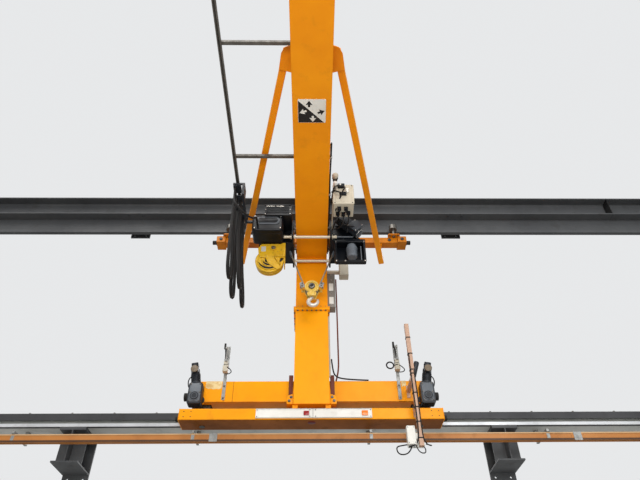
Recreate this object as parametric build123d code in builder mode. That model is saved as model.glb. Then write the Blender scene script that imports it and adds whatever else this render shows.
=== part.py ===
# A wall travelling crane: two runways on wall brackets, and a crane that runs along them.
# Millimetres. The origin is on the wall face of the lower bracket that stands left of the
# crane. +X runs along the wall, +Z is up, and the jib reaches out of the wall along -Y.

from math import acos, atan2, cos, hypot, pi, radians, sin, tan
import os

from build123d import *

os.makedirs("parts", exist_ok=True)

# Bays of the hall, and the runways on them
bay = 5000.0
bays = 3
first_bracket_x = -bay
runway_overhang = 300.0
runway_x0 = first_bracket_x - runway_overhang
runway_length = bays * bay + 2 * runway_overhang
runway_x1 = runway_x0 + runway_length
bracket_xs = [first_bracket_x + i * bay for i in range(bays + 1)]
rail_y = -320.0

# Where the crane stands at rest, and the reach of its jib from the rails
crane_x = 2750.0
outreach = 8000.0

# Lower brackets: wide I-section stubs with a plate on the wall
stub_height = 390.0
stub_width = 300.0
stub_flange = 19.0
stub_web = 11.0
stub_reach = 450.0
plate_thickness = 25.0
plate_height = 560.0
bolt_gauge = 180.0
bolt_rise = 480.0
bolt_hole_radius = 13.0
seat_thickness = 15.0
stiffener = 12.0

# Lower girder with its wheel rail and guide bar
girder_size = 180.0
girder_flange = 14.0
girder_web = 8.5
girder_root = 15.0
girder_z0 = stub_height / 2 + seat_thickness
girder_z1 = girder_z0 + girder_size
wheel_rail_width = 50.0
wheel_rail_height = 30.0
rail_top_z = girder_z1 + wheel_rail_height
guide_bar_size = 40.0
guide_bar_front_y = rail_y - girder_size / 2 - guide_bar_size

# Upper girder with the guide rail that hangs under it
high_girder_height = 350.0
high_girder_width = 300.0
high_girder_flange = 17.5
high_girder_web = 10.0
high_girder_root = 27.0
high_girder_z0 = 3625.0
high_girder_z1 = high_girder_z0 + high_girder_height
high_bar_width = 60.0
high_bar_height = 52.0
high_bar_z0 = 3343.0
high_web_thickness = 15.0

# Conductor rail in front of the lower brackets
conductor_y = -570.0
conductor_width = 60.0
conductor_height = 90.0
conductor_z0 = -30.0
conductor_wall = 8.0
conductor_slot = 22.0
hanger_pitch = 2000.0
first_hanger_x = -4580.0
hanger_clip_length = 36.0
hanger_bracket_gap = 60.0
sleeve_pitch = 4100.0
first_sleeve_x = -2450.0

# Clearances
running_gap = 0.3
seat_gap = 0.3

# Wheel beam, the lower carriage that carries the weight
wheel_radius = 100.0
wheel_flange_height = 12.0
wheel_tread = 62.0
wheel_flange_width = 16.0
wheel_z = rail_top_z + wheel_radius + running_gap
wheel_beam_length = 2900.0
wheel_offset = wheel_beam_length / 2 - 128.0
wheel_beam_width = 300.0
wheel_beam_height = 275.0
wheel_beam_z0 = 495.0
wheel_beam_z1 = wheel_beam_z0 + wheel_beam_height
wheel_beam_y0 = rail_y - wheel_beam_width / 2
beam_wall = 10.0
axle_radius = 24.0
hub_length = 22.0
boss_radius = 50.0
boss_length = 14.0

# Travel drives: a gearbox on each wheel's axle, with its leaning motor on top
drive_offset = wheel_offset + 58.0
gearbox_width = 165.0
gearbox_z = (420.0, 690.0)
gearbox_depth = 116.0
drive_motor_radius = 54.0
drive_motor_length = 200.0
drive_lean = 0.17

# Guide beam, the lower carriage that presses against the guide bar
guide_beam_length = 2980.0
guide_beam_z0 = 162.0
guide_beam_height = 136.0
guide_beam_y0 = -734.0
guide_beam_depth = 272.0
guide_roller_radius = 100.0
guide_roller_height = 40.0
guide_roller_offset = guide_beam_length / 2 - 240.0
roller_pin_radius = 20.0

# Post and jib
post_width = 420.0
post_y0 = -690.0
post_y1 = -200.0
post_z0 = 370.0
post_wall = 10.0
joint_z = 1680.0
joint_plate = 25.0
joint_lip = 25.0
jib_z0 = 2540.0
jib_z1 = 3100.0
jib_bottom_flange = 20.0
jib_top_flange = 15.0
jib_top_width = 300.0
jib_web = 10.0
jib_web_spread = 260.0
jib_tip_y = rail_y - outreach

# Upper carriage with its guide rollers
high_carriage_length = 2870.0
high_carriage_step = 130.0
high_carriage_z0 = jib_z1
high_carriage_height = 100.0
high_carriage_y0 = -385.0
high_carriage_y1 = -255.0
high_head_y0 = -415.0
high_head_y1 = -225.0
high_head_drop = 10.0
high_yoke_thickness = 16.0
high_yoke_length = 180.0
high_roller_radius = 60.0
high_roller_z0 = 3330.0
high_roller_height = 80.0
high_roller_offset = high_carriage_length / 2 - 185.0

# Braces in plan, from the jib out to the wall side
brace_size = 80.0
brace_wall = 5.0
brace_z0 = 2890.0
brace_jib_x = 265.0
brace_jib_y = -3660.0
brace_wall_x = 1060.0
brace_wall_y = -130.0

# Festoon rail left of the jib
festoon_x = -940.0
festoon_z0 = 2770.0
festoon_width = 40.0
festoon_height = 36.0
festoon_wall = 3.0
festoon_slot = 16.0
festoon_y1 = -1080.0
first_arm_y = -2300.0
last_arm_y = jib_tip_y + 100.0
arm_pitch = 1500.0
arms_before_last = int((first_arm_y - last_arm_y) // arm_pitch) + 1
festoon_arm_ys = [first_arm_y - i * arm_pitch for i in range(arms_before_last)] + [last_arm_y]
arm_size = 40.0

# Cable trolleys and the loops between them
saddle_length = 110.0
saddle_width = 96.0
saddle_z0 = 2690.0
saddle_height = 46.0
clamp_y = -1190.0
saddle_pitch = 170.0
cable_trolleys = 4
cable_diameter = 40.0
loop_leg = 30.0
loop_shift = 24.0
loop_bottom_z = 1340.0
loop_leans = (85.0, 30.0)

# Hoist trolley
trolley_y = -1000.0
trolley_side_x = 240.0
side_thickness = 22.0
rod_radius = 20.0
rod_z = 2440.0
rod_spread = 500.0
runner_radius = 60.0
runner_flange = 10.0
runner_spread = 420.0
runner_z = jib_z0 + jib_bottom_flange + runner_radius + running_gap

# Hook block
block_z = 1775.0
block_radius = 94.0
rope_radius = 5.5
rope_gap = 40.0


def keep(piece, name):
    """Label one finished piece and write it to its own file."""
    piece.part.label = name
    export_step(piece.part, "parts/" + name + ".step")


def block(x, y, z, mode=Mode.ADD):
    """A block between the faces x, y and z, each given as (low, high)."""
    with Locations(((x[0] + x[1]) / 2, (y[0] + y[1]) / 2, (z[0] + z[1]) / 2)):
        Box(x[1] - x[0], y[1] - y[0], z[1] - z[0], mode=mode)


def rod(axis, at, radius, length, mode=Mode.ADD):
    """A round bar that is centred on a point and runs along one axis."""
    turns = {"x": (0, 90, 0), "y": (90, 0, 0), "z": (0, 0, 0)}
    with Locations(at):
        Cylinder(radius, length, rotation=turns[axis], mode=mode)


def section_plane(x, y, z):
    """A plane across the wall direction: its x is the row's Y, and its y is the row's Z."""
    return Plane(origin=(x, y, z), x_dir=(0, 1, 0), z_dir=(1, 0, 0))


def i_section(height, width, flange, web, root):
    """An I-section about the sketch's own origin, with its root fillets."""
    Rectangle(width, height)
    side = (width - web) / 2
    with Locations((-(web + side) / 2, 0), ((web + side) / 2, 0)):
        Rectangle(side, height - 2 * flange, mode=Mode.SUBTRACT)
    if root > 0:
        roots = [v for v in vertices() if abs(abs(v.X) - web / 2) < 0.01]
        fillet(roots, root)


def tube_section(width, height, wall, corner):
    """A hollow rectangle about the sketch's own origin, with rounded corners outside."""
    RectangleRounded(width, height, corner)
    Rectangle(width - 2 * wall, height - 2 * wall, mode=Mode.SUBTRACT)


def cord_radii(points):
    """The arc at each inner corner of a cord: as large as the shorter run there allows."""
    radii = []
    for before, corner, after in zip(points, points[1:], points[2:]):
        run_in = Vector(*corner) - Vector(*before)
        run_out = Vector(*after) - Vector(*corner)
        turn = radians(run_in.get_angle(run_out))
        radii.append(0.45 * min(run_in.length, run_out.length) / tan(turn / 2))
    return radii


# Runway: brackets on the wall

with BuildPart() as lower_brackets:
    for x in bracket_xs:
        front = Plane(origin=(x, -plate_thickness, 0), x_dir=(1, 0, 0), z_dir=(0, -1, 0))
        with BuildSketch(front):
            i_section(stub_height, stub_width, stub_flange, stub_web, 0)
        extrude(amount=stub_reach - plate_thickness)
        with BuildSketch(Plane.XZ):
            with Locations((x, 0)):
                Rectangle(stub_width, plate_height)
                with GridLocations(bolt_gauge, bolt_rise, 2, 2):
                    Circle(bolt_hole_radius, mode=Mode.SUBTRACT)
        extrude(amount=plate_thickness)
        inner = stub_height / 2 - stub_flange
        for side in (-1, 1):
            reach = sorted((x + side * stub_web / 2, x + side * stub_width / 2))
            block(reach, (rail_y - stiffener / 2, rail_y + stiffener / 2), (-inner, inner))
        block(
            (x - stub_width / 2, x + stub_width / 2),
            (-stub_reach, rail_y + girder_size / 2 + seat_thickness),
            (stub_height / 2, girder_z0),
        )
keep(lower_brackets, "lower_brackets")

with BuildPart() as upper_brackets:
    middle_z = (high_girder_z0 + high_girder_z1) / 2
    back_y = rail_y + high_girder_width / 2
    web_y = rail_y + high_girder_web / 2
    low = high_girder_z0 + high_girder_flange
    high = high_girder_z1 - high_girder_flange
    notch = high_girder_root + 3.0
    for x in bracket_xs:
        with BuildSketch(Plane.XZ):
            with Locations((x, middle_z)):
                Rectangle(stub_width, plate_height)
                with GridLocations(bolt_gauge, bolt_rise, 2, 2):
                    Circle(bolt_hole_radius, mode=Mode.SUBTRACT)
        extrude(amount=plate_thickness)
        for z in (high_girder_z0, high):
            block(
                (x - stub_width / 2, x + stub_width / 2),
                (back_y, -plate_thickness),
                (z, z + high_girder_flange),
            )
        with BuildSketch(Plane.YZ.offset(x - stiffener / 2)):
            with BuildLine():
                Polyline(
                    (-plate_thickness, low),
                    (-plate_thickness, high),
                    (web_y + notch, high),
                    (web_y, high - notch),
                    (web_y, low + notch),
                    (web_y + notch, low),
                    close=True,
                )
            make_face()
        extrude(amount=stiffener)
keep(upper_brackets, "upper_brackets")


# Runway: girders and rails

with BuildPart() as lower_girder:
    with BuildSketch(section_plane(runway_x0, rail_y, (girder_z0 + girder_z1) / 2)):
        i_section(girder_size, girder_size, girder_flange, girder_web, girder_root)
    extrude(amount=runway_length)
keep(lower_girder, "lower_girder")

with BuildPart() as wheel_rail:
    with BuildSketch(section_plane(runway_x0, rail_y, girder_z1 + wheel_rail_height / 2)):
        Rectangle(wheel_rail_width, wheel_rail_height)
        chamfer(vertices().group_by(Axis.Y)[-1], 3.0)
    extrude(amount=runway_length)
keep(wheel_rail, "wheel_rail")

with BuildPart() as guide_bar:
    bar_y = guide_bar_front_y + guide_bar_size / 2
    with BuildSketch(section_plane(runway_x0, bar_y, girder_z0 + guide_bar_size / 2)):
        Rectangle(guide_bar_size, guide_bar_size)
        chamfer(vertices().group_by(Axis.X)[0], 2.0)
    extrude(amount=runway_length)
keep(guide_bar, "guide_bar")

with BuildPart() as upper_girder:
    with BuildSketch(section_plane(runway_x0, rail_y, (high_girder_z0 + high_girder_z1) / 2)):
        i_section(
            high_girder_height,
            high_girder_width,
            high_girder_flange,
            high_girder_web,
            high_girder_root,
        )
    extrude(amount=runway_length)
keep(upper_girder, "upper_girder")

with BuildPart() as upper_guide_rail:
    with BuildSketch(section_plane(runway_x0, rail_y, high_bar_z0)):
        with Locations((0, high_bar_height / 2)):
            Rectangle(high_bar_width, high_bar_height)
        web_height = high_girder_z0 - high_bar_z0
        with Locations((0, web_height / 2)):
            Rectangle(high_web_thickness, web_height)
    extrude(amount=runway_length)
keep(upper_guide_rail, "upper_guide_rail")

with BuildPart() as conductor_rail:
    with BuildSketch(section_plane(runway_x0, conductor_y, conductor_z0 + conductor_height / 2)):
        Rectangle(conductor_width, conductor_height)
        fillet(vertices().group_by(Axis.Y)[-1], 10.0)
        inner_height = conductor_height - 2 * conductor_wall
        Rectangle(conductor_width - 2 * conductor_wall, inner_height, mode=Mode.SUBTRACT)
        with Locations((0, -(conductor_height - conductor_wall) / 2)):
            Rectangle(conductor_slot, conductor_wall, mode=Mode.SUBTRACT)
    extrude(amount=runway_length)
    sleeve = 140.0
    sleeve_lip = 4.0
    for i in range(int((runway_x1 - first_sleeve_x) // sleeve_pitch) + 1):
        x = first_sleeve_x + i * sleeve_pitch
        with BuildSketch(section_plane(x - sleeve / 2, conductor_y, conductor_z0)):
            with Locations((0, conductor_height / 2)):
                Rectangle(conductor_width + 2 * sleeve_lip, conductor_height - 20.0)
                Rectangle(conductor_width, conductor_height, mode=Mode.SUBTRACT)
        extrude(amount=sleeve)
keep(conductor_rail, "conductor_rail")



def beside_brackets(x):  # a hanger that would meet a bracket stands beside it
    reach = stub_width / 2 + hanger_clip_length / 2 + hanger_bracket_gap
    for bracket_x in bracket_xs:
        if abs(x - bracket_x) < reach:
            return bracket_x + (reach if x >= bracket_x else -reach)
    return x


with BuildPart() as conductor_hangers:
    clip_thickness = 4.0
    arm_height = 30.0
    arm_z0 = conductor_z0 + conductor_height + clip_thickness
    arm_y0 = conductor_y - conductor_width / 2 - 20.0
    arm_y1 = rail_y + girder_size / 2 - 20.0
    for i in range(int((runway_x1 - first_hanger_x) // hanger_pitch) + 1):
        x = beside_brackets(first_hanger_x + i * hanger_pitch)
        block((x - 15.0, x + 15.0), (arm_y0, arm_y1), (arm_z0, arm_z0 + arm_height))
        with BuildSketch(section_plane(x - hanger_clip_length / 2, conductor_y, conductor_z0)):
            with Locations((0, (conductor_height + 2 * clip_thickness) / 2)):
                Rectangle(conductor_width + 2 * clip_thickness, conductor_height)
            with Locations((0, conductor_height / 2)):
                Rectangle(conductor_width, conductor_height, mode=Mode.SUBTRACT)
        extrude(amount=hanger_clip_length)
        block((x - 20.0, x + 20.0), (arm_y1 - 60.0, arm_y1), (arm_z0 + arm_height, girder_z0))
        block((x - 6.0, x + 6.0), (arm_y0 + 60.0, arm_y0 + 85.0), (arm_z0 - 4.0, arm_z0))
keep(conductor_hangers, "conductor_hangers")

with BuildPart() as runway_end_stops:
    stop_thickness = 20.0
    stop_height = 300.0
    stop_depth = 150.0
    for x, way in ((runway_x0, 1), (runway_x1, -1)):
        with BuildSketch(Plane.XZ.offset(-(rail_y + girder_size / 2 - 10.0))):
            with BuildLine():
                Polyline(
                    (x, girder_z1),
                    (x + way * stop_depth, girder_z1),
                    (x + way * stop_depth, girder_z1 + stop_height),
                    (x + way * (stop_depth - stop_thickness), girder_z1 + stop_height),
                    (x, girder_z1 + stop_thickness),
                    close=True,
                )
            make_face()
        extrude(amount=girder_size - 20.0)
        gap = wheel_rail_width / 2 + seat_gap
        block(
            sorted((x, x + way * stop_depth)),
            (rail_y - gap, rail_y + gap),
            (girder_z1, rail_top_z + seat_gap),
            mode=Mode.SUBTRACT,
        )
keep(runway_end_stops, "runway_end_stops")


# Crane: lower carriages

with BuildPart() as wheel_beam:
    beam_x0 = crane_x - wheel_beam_length / 2
    beam_middle_z = (wheel_beam_z0 + wheel_beam_z1) / 2
    with BuildSketch(section_plane(beam_x0, rail_y, beam_middle_z)):
        tube_section(wheel_beam_width, wheel_beam_height, beam_wall, 12.0)
    extrude(amount=wheel_beam_length)
    inner_y = wheel_beam_width / 2 - beam_wall
    inner_z = (wheel_beam_z0 + beam_wall, wheel_beam_z1 - beam_wall)
    for end in (-1, 1):
        face = crane_x + end * wheel_beam_length / 2
        plate_xs = sorted((face, face - end * beam_wall))
        block(plate_xs, (rail_y - inner_y, rail_y + inner_y), inner_z)
        wheel_x = crane_x + end * wheel_offset
        pocket = wheel_radius + wheel_flange_height + 6.0
        pocket_y = wheel_tread / 2 + wheel_flange_width + hub_length + 8.0
        block(
            (wheel_x - pocket, wheel_x + pocket),
            (rail_y - pocket_y, rail_y + pocket_y),
            (wheel_beam_z0, wheel_beam_z0 + beam_wall),
            mode=Mode.SUBTRACT,
        )
        for side in (-1, 1):
            boss_y = rail_y + side * (wheel_beam_width / 2 - boss_length / 2 - beam_wall)
            rod("y", (wheel_x, boss_y, wheel_z), boss_radius, boss_length)
        rod("y", (wheel_x, rail_y, wheel_z), axle_radius + seat_gap, 400.0, mode=Mode.SUBTRACT)
keep(wheel_beam, "wheel_beam")


with BuildPart() as travel_wheels:
    half_tread = wheel_tread / 2
    hub = 38.0
    half_axle = wheel_beam_width / 2 + 6.0
    flange_radius = wheel_radius + wheel_flange_height
    outer = half_tread + wheel_flange_width
    for x in (crane_x - wheel_offset, crane_x + wheel_offset):
        with BuildSketch(section_plane(x, rail_y, wheel_z)):
            with BuildLine():
                Polyline(
                    (-half_axle, 0),
                    (-half_axle, axle_radius),
                    (-outer - hub_length, axle_radius),
                    (-outer - hub_length, hub),
                    (-outer + 6.0, hub + 12.0),
                    (-outer + 6.0, wheel_radius - 22.0),
                    (-outer, wheel_radius - 16.0),
                    (-outer, flange_radius - 4.0),
                    (-outer + 4.0, flange_radius),
                    (-half_tread - 5.0, flange_radius),
                    (-half_tread, wheel_radius),
                    (half_tread, wheel_radius),
                    (half_tread + 5.0, flange_radius),
                    (outer - 4.0, flange_radius),
                    (outer, flange_radius - 4.0),
                    (outer, wheel_radius - 16.0),
                    (outer - 6.0, wheel_radius - 22.0),
                    (outer - 6.0, hub + 12.0),
                    (outer + hub_length, hub),
                    (outer + hub_length, axle_radius),
                    (half_axle, axle_radius),
                    (half_axle, 0),
                    close=True,
                )
            make_face()
        revolve(axis=Axis((x, rail_y, wheel_z), (0, 1, 0)))
keep(travel_wheels, "travel_wheels")

guide_beam_y1 = guide_beam_y0 + guide_beam_depth
guide_beam_z1 = guide_beam_z0 + guide_beam_height
guide_beam_middle_y = (guide_beam_y0 + guide_beam_y1) / 2
guide_beam_middle_z = (guide_beam_z0 + guide_beam_z1) / 2
guide_roller_y = guide_bar_front_y - running_gap - guide_roller_radius
guide_roller_z = girder_z0 + guide_bar_size / 2

with BuildPart() as guide_beam:
    beam_x0 = crane_x - guide_beam_length / 2
    with BuildSketch(section_plane(beam_x0, guide_beam_middle_y, guide_beam_middle_z)):
        tube_section(guide_beam_depth, guide_beam_height, beam_wall, 14.0)
    extrude(amount=guide_beam_length)
    inner_y = guide_beam_depth / 2 - beam_wall
    inner_z = guide_beam_height / 2 - beam_wall
    for end in (-1, 1):
        face = crane_x + end * guide_beam_length / 2
        block(
            sorted((face, face - end * beam_wall)),
            (guide_beam_middle_y - inner_y, guide_beam_middle_y + inner_y),
            (guide_beam_middle_z - inner_z, guide_beam_middle_z + inner_z),
        )
        roller_x = crane_x + end * guide_roller_offset
        slot = guide_roller_radius + 6.0
        block(
            (roller_x - slot, roller_x + slot),
            (guide_beam_y1 - beam_wall, guide_beam_y1),
            (guide_roller_z - 28.0, guide_roller_z + 28.0),
            mode=Mode.SUBTRACT,
        )
        rod(
            "z",
            (roller_x, guide_roller_y, guide_beam_middle_z),
            roller_pin_radius + seat_gap,
            guide_beam_height + 10.0,
            mode=Mode.SUBTRACT,
        )
    with BuildSketch(Plane.XY.offset(guide_beam_z0)):
        with Locations((crane_x, guide_beam_middle_y)):
            SlotOverall(90.0, 36.0)
    extrude(amount=beam_wall, mode=Mode.SUBTRACT)
    for side in (-1, 1):
        lug_x = crane_x + side * (post_width / 2 + 8.0)
        rise = wheel_beam_z0 - guide_beam_z1
        with BuildSketch(section_plane(lug_x - 8.0, wheel_beam_y0, guide_beam_z1)):
            with BuildLine():
                Polyline(
                    (0, rise + 30.0),
                    (0, rise + wheel_beam_height - 40.0),
                    (-60.0, rise + 120.0),
                    (-150.0, 60.0),
                    (-150.0, 0),
                    (-30.0, 0),
                    (-30.0, rise - 30.0),
                    close=True,
                )
            make_face()
            with Locations((-95.0, 70.0)):
                Circle(12.0, mode=Mode.SUBTRACT)
        extrude(amount=16.0)
        foot_x = crane_x + side * (post_width / 2 - 20.0)
        block(
            (foot_x - 30.0, foot_x + 30.0),
            (wheel_beam_y0 - 190.0, wheel_beam_y0 - 60.0),
            (guide_beam_z1, post_z0),
        )
keep(guide_beam, "guide_beam")


def guide_roller(at, radius, height, pin_z, pin_radius, cap_radius):
    """A crowned roller on an upright pin that reaches over pin_z, with a cap at its foot."""
    x, y, z = at
    low, high = pin_z
    rim = 5.0
    with BuildSketch(Plane.XZ.offset(-y)) as half:
        with BuildLine():
            Polyline(
                (x, low),
                (x + cap_radius, low),
                (x + cap_radius, low + 8.0),
                (x + pin_radius, low + 8.0),
                (x + pin_radius, z - height / 2 - 6.0),
                (x + pin_radius + 14.0, z - height / 2 - 6.0),
                (x + pin_radius + 14.0, z - height / 2),
                (x + radius - rim, z - height / 2),
                (x + radius, z - height / 2 + rim),
                (x + radius, z + height / 2 - rim),
                (x + radius - rim, z + height / 2),
                (x + pin_radius, z + height / 2),
                (x + pin_radius, high),
                (x, high),
                close=True,
            )
        make_face()
    revolve(half.sketch, axis=Axis((x, y, z), (0, 0, 1)))


high_roller_z = high_roller_z0 + high_roller_height / 2
high_roller_ys = (
    rail_y - high_bar_width / 2 - running_gap - high_roller_radius,
    rail_y + high_bar_width / 2 + running_gap + high_roller_radius,
)
high_carriage_z1 = high_carriage_z0 + high_carriage_height
roller_cap = 8.0
roller_cap_radius = 32.0

with BuildPart() as guide_rollers:
    for end in (-1, 1):
        guide_roller(
            (crane_x + end * guide_roller_offset, guide_roller_y, guide_roller_z),
            guide_roller_radius,
            guide_roller_height,
            (guide_beam_z0 - roller_cap - seat_gap, guide_beam_z1 + 12.0),
            roller_pin_radius,
            roller_cap_radius,
        )
        for roller_y in high_roller_ys:
            guide_roller(
                (crane_x + end * high_roller_offset, roller_y, high_roller_z),
                high_roller_radius,
                high_roller_height,
                (high_carriage_z1 - roller_cap - seat_gap, high_roller_z0 + high_roller_height + 12.0),
                roller_pin_radius,
                roller_pin_radius + 4.0,
            )
keep(guide_rollers, "guide_rollers")


# Crane: post, jib and braces

with BuildPart() as lower_post:
    with BuildSketch(Plane.YZ.offset(crane_x - post_width / 2)):
        with BuildLine():
            Polyline(
                (post_y0, post_z0),
                (wheel_beam_y0, post_z0),
                (wheel_beam_y0, wheel_beam_z1),
                (post_y1, wheel_beam_z1),
                (post_y1, joint_z - joint_plate),
                (post_y0, joint_z - joint_plate),
                close=True,
            )
        make_face()
    extrude(amount=post_width)
    with BuildSketch(Plane.YZ.offset(crane_x - post_width / 2 + post_wall)):
        with BuildLine():
            Polyline(
                (post_y0 + post_wall, post_z0 + post_wall),
                (wheel_beam_y0 - post_wall, post_z0 + post_wall),
                (wheel_beam_y0 - post_wall, wheel_beam_z1 + post_wall),
                (post_y1 - post_wall, wheel_beam_z1 + post_wall),
                (post_y1 - post_wall, joint_z - joint_plate),
                (post_y0 + post_wall, joint_z - joint_plate),
                close=True,
            )
        make_face()
    extrude(amount=post_width - 2 * post_wall, mode=Mode.SUBTRACT)
    plate_xs = (crane_x - post_width / 2 - joint_lip, crane_x + post_width / 2 + joint_lip)
    plate_ys = (post_y0 - joint_lip, post_y1 + joint_lip)
    block(plate_xs, plate_ys, (joint_z - joint_plate, joint_z))
keep(lower_post, "lower_post")

with BuildPart() as upper_post:
    block(plate_xs, plate_ys, (joint_z, joint_z + joint_plate))
    with BuildSketch(Plane.XY.offset(joint_z + joint_plate)):
        with Locations((crane_x, (post_y0 + post_y1) / 2)):
            Rectangle(post_width, post_y1 - post_y0)
            inner = (post_width - 2 * post_wall, post_y1 - post_y0 - 2 * post_wall)
            Rectangle(inner[0], inner[1], mode=Mode.SUBTRACT)
    extrude(amount=jib_z1 - joint_z - joint_plate)
    block(
        (crane_x - inner[0] / 2, crane_x + inner[0] / 2),
        (post_y0 + post_wall, post_y1 - post_wall),
        (jib_z1 - jib_top_flange, jib_z1),
    )
    block(
        (crane_x - inner[0] / 2, crane_x + inner[0] / 2),
        (post_y0 + post_wall, post_y1 - post_wall),
        (jib_z0, jib_z0 + jib_bottom_flange),
    )
keep(upper_post, "upper_post")

with BuildPart() as jib_girder:
    jib_length = post_y0 - jib_tip_y
    web_z = (jib_z0 + jib_bottom_flange, jib_z1 - jib_top_flange)
    with BuildSketch(Plane.XZ.offset(-post_y0)):
        with Locations((crane_x, jib_z0 + jib_bottom_flange / 2)):
            Rectangle(post_width, jib_bottom_flange)
        with Locations((crane_x, jib_z1 - jib_top_flange / 2)):
            Rectangle(jib_top_width, jib_top_flange)
        for side in (-1, 1):
            web_x = crane_x + side * (jib_web_spread - jib_web) / 2
            with Locations((web_x, (web_z[0] + web_z[1]) / 2)):
                Rectangle(jib_web, web_z[1] - web_z[0])
    extrude(amount=jib_length)
    clear_width = jib_web_spread / 2 - jib_web
    block(
        (crane_x - clear_width, crane_x + clear_width),
        (jib_tip_y + 20.0, jib_tip_y + 30.0),
        web_z,
    )
    stop_y = jib_tip_y + 60.0
    for side in (-1, 1):
        stop_x = crane_x + side * (jib_web_spread / 2 + 40.0)
        block(
            (stop_x - 36.0, stop_x + 36.0),
            (stop_y, stop_y + 20.0),
            (jib_z0 + jib_bottom_flange, jib_z0 + jib_bottom_flange + 110.0),
        )
        rod("y", (stop_x, stop_y + 20.0 + 25.0, runner_z), 24.0, 50.0)
keep(jib_girder, "jib_girder")


def brace_point(y):
    """How far from the jib's middle a brace stands at one place along the jib."""
    share = (brace_jib_y - y) / (brace_jib_y - brace_wall_y)
    return brace_jib_x + share * (brace_wall_x - brace_jib_x)


brace_length = hypot(brace_wall_x - brace_jib_x, brace_wall_y - brace_jib_y)
hanger_y = -300.0


def brace(side):
    """One square tube from the jib to the upper carriage, with its end plates."""
    run = Vector(side * (brace_wall_x - brace_jib_x), brace_wall_y - brace_jib_y, 0)
    middle_z = brace_z0 + brace_size / 2
    start = Plane(
        origin=(crane_x + side * brace_jib_x, brace_jib_y, middle_z),
        x_dir=(0, 0, 1),
        z_dir=run.normalized(),
    )
    with BuildPart() as tube:
        with BuildSketch(start):
            tube_section(brace_size, brace_size, brace_wall, 8.0)
        extrude(amount=brace_length)
        with BuildSketch(Plane.XY.offset(brace_z0 - 12.0)):
            web_x = crane_x + side * jib_web_spread / 2
            tip_x = crane_x + side * (brace_jib_x + 60.0)
            with BuildLine():
                Polyline(
                    (web_x, brace_jib_y - 120.0),
                    (web_x, brace_jib_y + 260.0),
                    (crane_x + side * (brace_point(brace_jib_y + 200.0) + 46.0), brace_jib_y + 200.0),
                    (tip_x, brace_jib_y + 10.0),
                    (tip_x - side * 40.0, brace_jib_y - 60.0),
                    close=True,
                )
            make_face()
        extrude(amount=12.0)
        hanger_x = crane_x + side * brace_point(hanger_y)
        hanger_top = high_carriage_z0
        block(
            (hanger_x - 45.0, hanger_x + 45.0),
            (hanger_y - 60.0, hanger_y + 60.0),
            (hanger_top - 12.0, hanger_top),
        )
        block(
            (hanger_x - 8.0, hanger_x + 8.0),
            (hanger_y - 50.0, hanger_y + 50.0),
            (brace_z0 + brace_size, hanger_top - 12.0),
        )
    return tube


keep(brace(-1), "brace_left")
keep(brace(1), "brace_right")

with BuildPart() as upper_carriage:
    half = high_carriage_length / 2
    shoulder = half - high_carriage_step
    beam_xs = (crane_x - half, crane_x + half)
    beam_ys = (high_carriage_y0, high_carriage_y1)
    block(beam_xs, beam_ys, (high_carriage_z0, high_carriage_z1))
    for end in (-1, 1):
        head_xs = sorted((crane_x + end * shoulder, crane_x + end * half))
        head_zs = (high_carriage_z0 - high_head_drop, high_carriage_z1)
        block(head_xs, (high_head_y0, high_head_y1), head_zs)
    block(
        (beam_xs[0] + beam_wall, beam_xs[1] - beam_wall),
        (high_carriage_y0 + beam_wall, high_carriage_y1 - beam_wall),
        (high_carriage_z0 + beam_wall, high_carriage_z1 - beam_wall),
        mode=Mode.SUBTRACT,
    )
    yoke_reach = high_roller_radius + high_bar_width / 2 + 50.0
    for end in (-1, 1):
        with BuildSketch(Plane.XY.offset(high_carriage_z1)):
            with Locations((crane_x + end * high_roller_offset, rail_y)):
                RectangleRounded(high_yoke_length, 2 * yoke_reach, 30.0)
        extrude(amount=high_yoke_thickness)
        for roller_y in high_roller_ys:
            at = (crane_x + end * high_roller_offset, roller_y, high_carriage_z1)
            bore = roller_pin_radius + seat_gap
            rod("z", at, bore, 2 * high_carriage_height, mode=Mode.SUBTRACT)
keep(upper_carriage, "upper_carriage")


def buffer(x, way, y, z, radius, length):
    """A rubber buffer on its plate, at a beam's end face, pointing along the wall."""
    plate = 10.0
    rod("x", (x + way * plate / 2, y, z), radius + 12.0, plate)
    rod("x", (x + way * (plate + length / 2), y, z), radius, length)


with BuildPart() as travel_buffers:
    for end in (-1, 1):
        buffer(crane_x + end * wheel_beam_length / 2, end, rail_y, beam_middle_z, 50.0, 100.0)
        face = crane_x + end * guide_beam_length / 2
        buffer(face, end, guide_beam_middle_y, guide_beam_middle_z, 32.0, 50.0)
        face = crane_x + end * high_carriage_length / 2
        buffer(face, end, rail_y, high_carriage_z0 + high_carriage_height / 2, 32.0, 60.0)
keep(travel_buffers, "travel_buffers")


# Crane: festoon rail with its arms and end clamp

festoon_row_x = crane_x + festoon_x
festoon_z1 = festoon_z0 + festoon_height

saddle_z1 = saddle_z0 + saddle_height


def saddle(y):
    """The rounded cable clamp of a trolley, with the two cable runs leaving its flat foot."""
    with BuildSketch(section_plane(festoon_row_x - saddle_width / 2, y, saddle_z0)) as side:
        with BuildLine():
            Polyline(
                (-saddle_length / 2, 0),
                (saddle_length / 2, 0),
                (saddle_length / 2, 14.0),
                (saddle_length / 2 - 22.0, saddle_height),
                (22.0 - saddle_length / 2, saddle_height),
                (-saddle_length / 2, 14.0),
                close=True,
            )
        make_face()
    extrude(side.sketch, amount=saddle_width)


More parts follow.
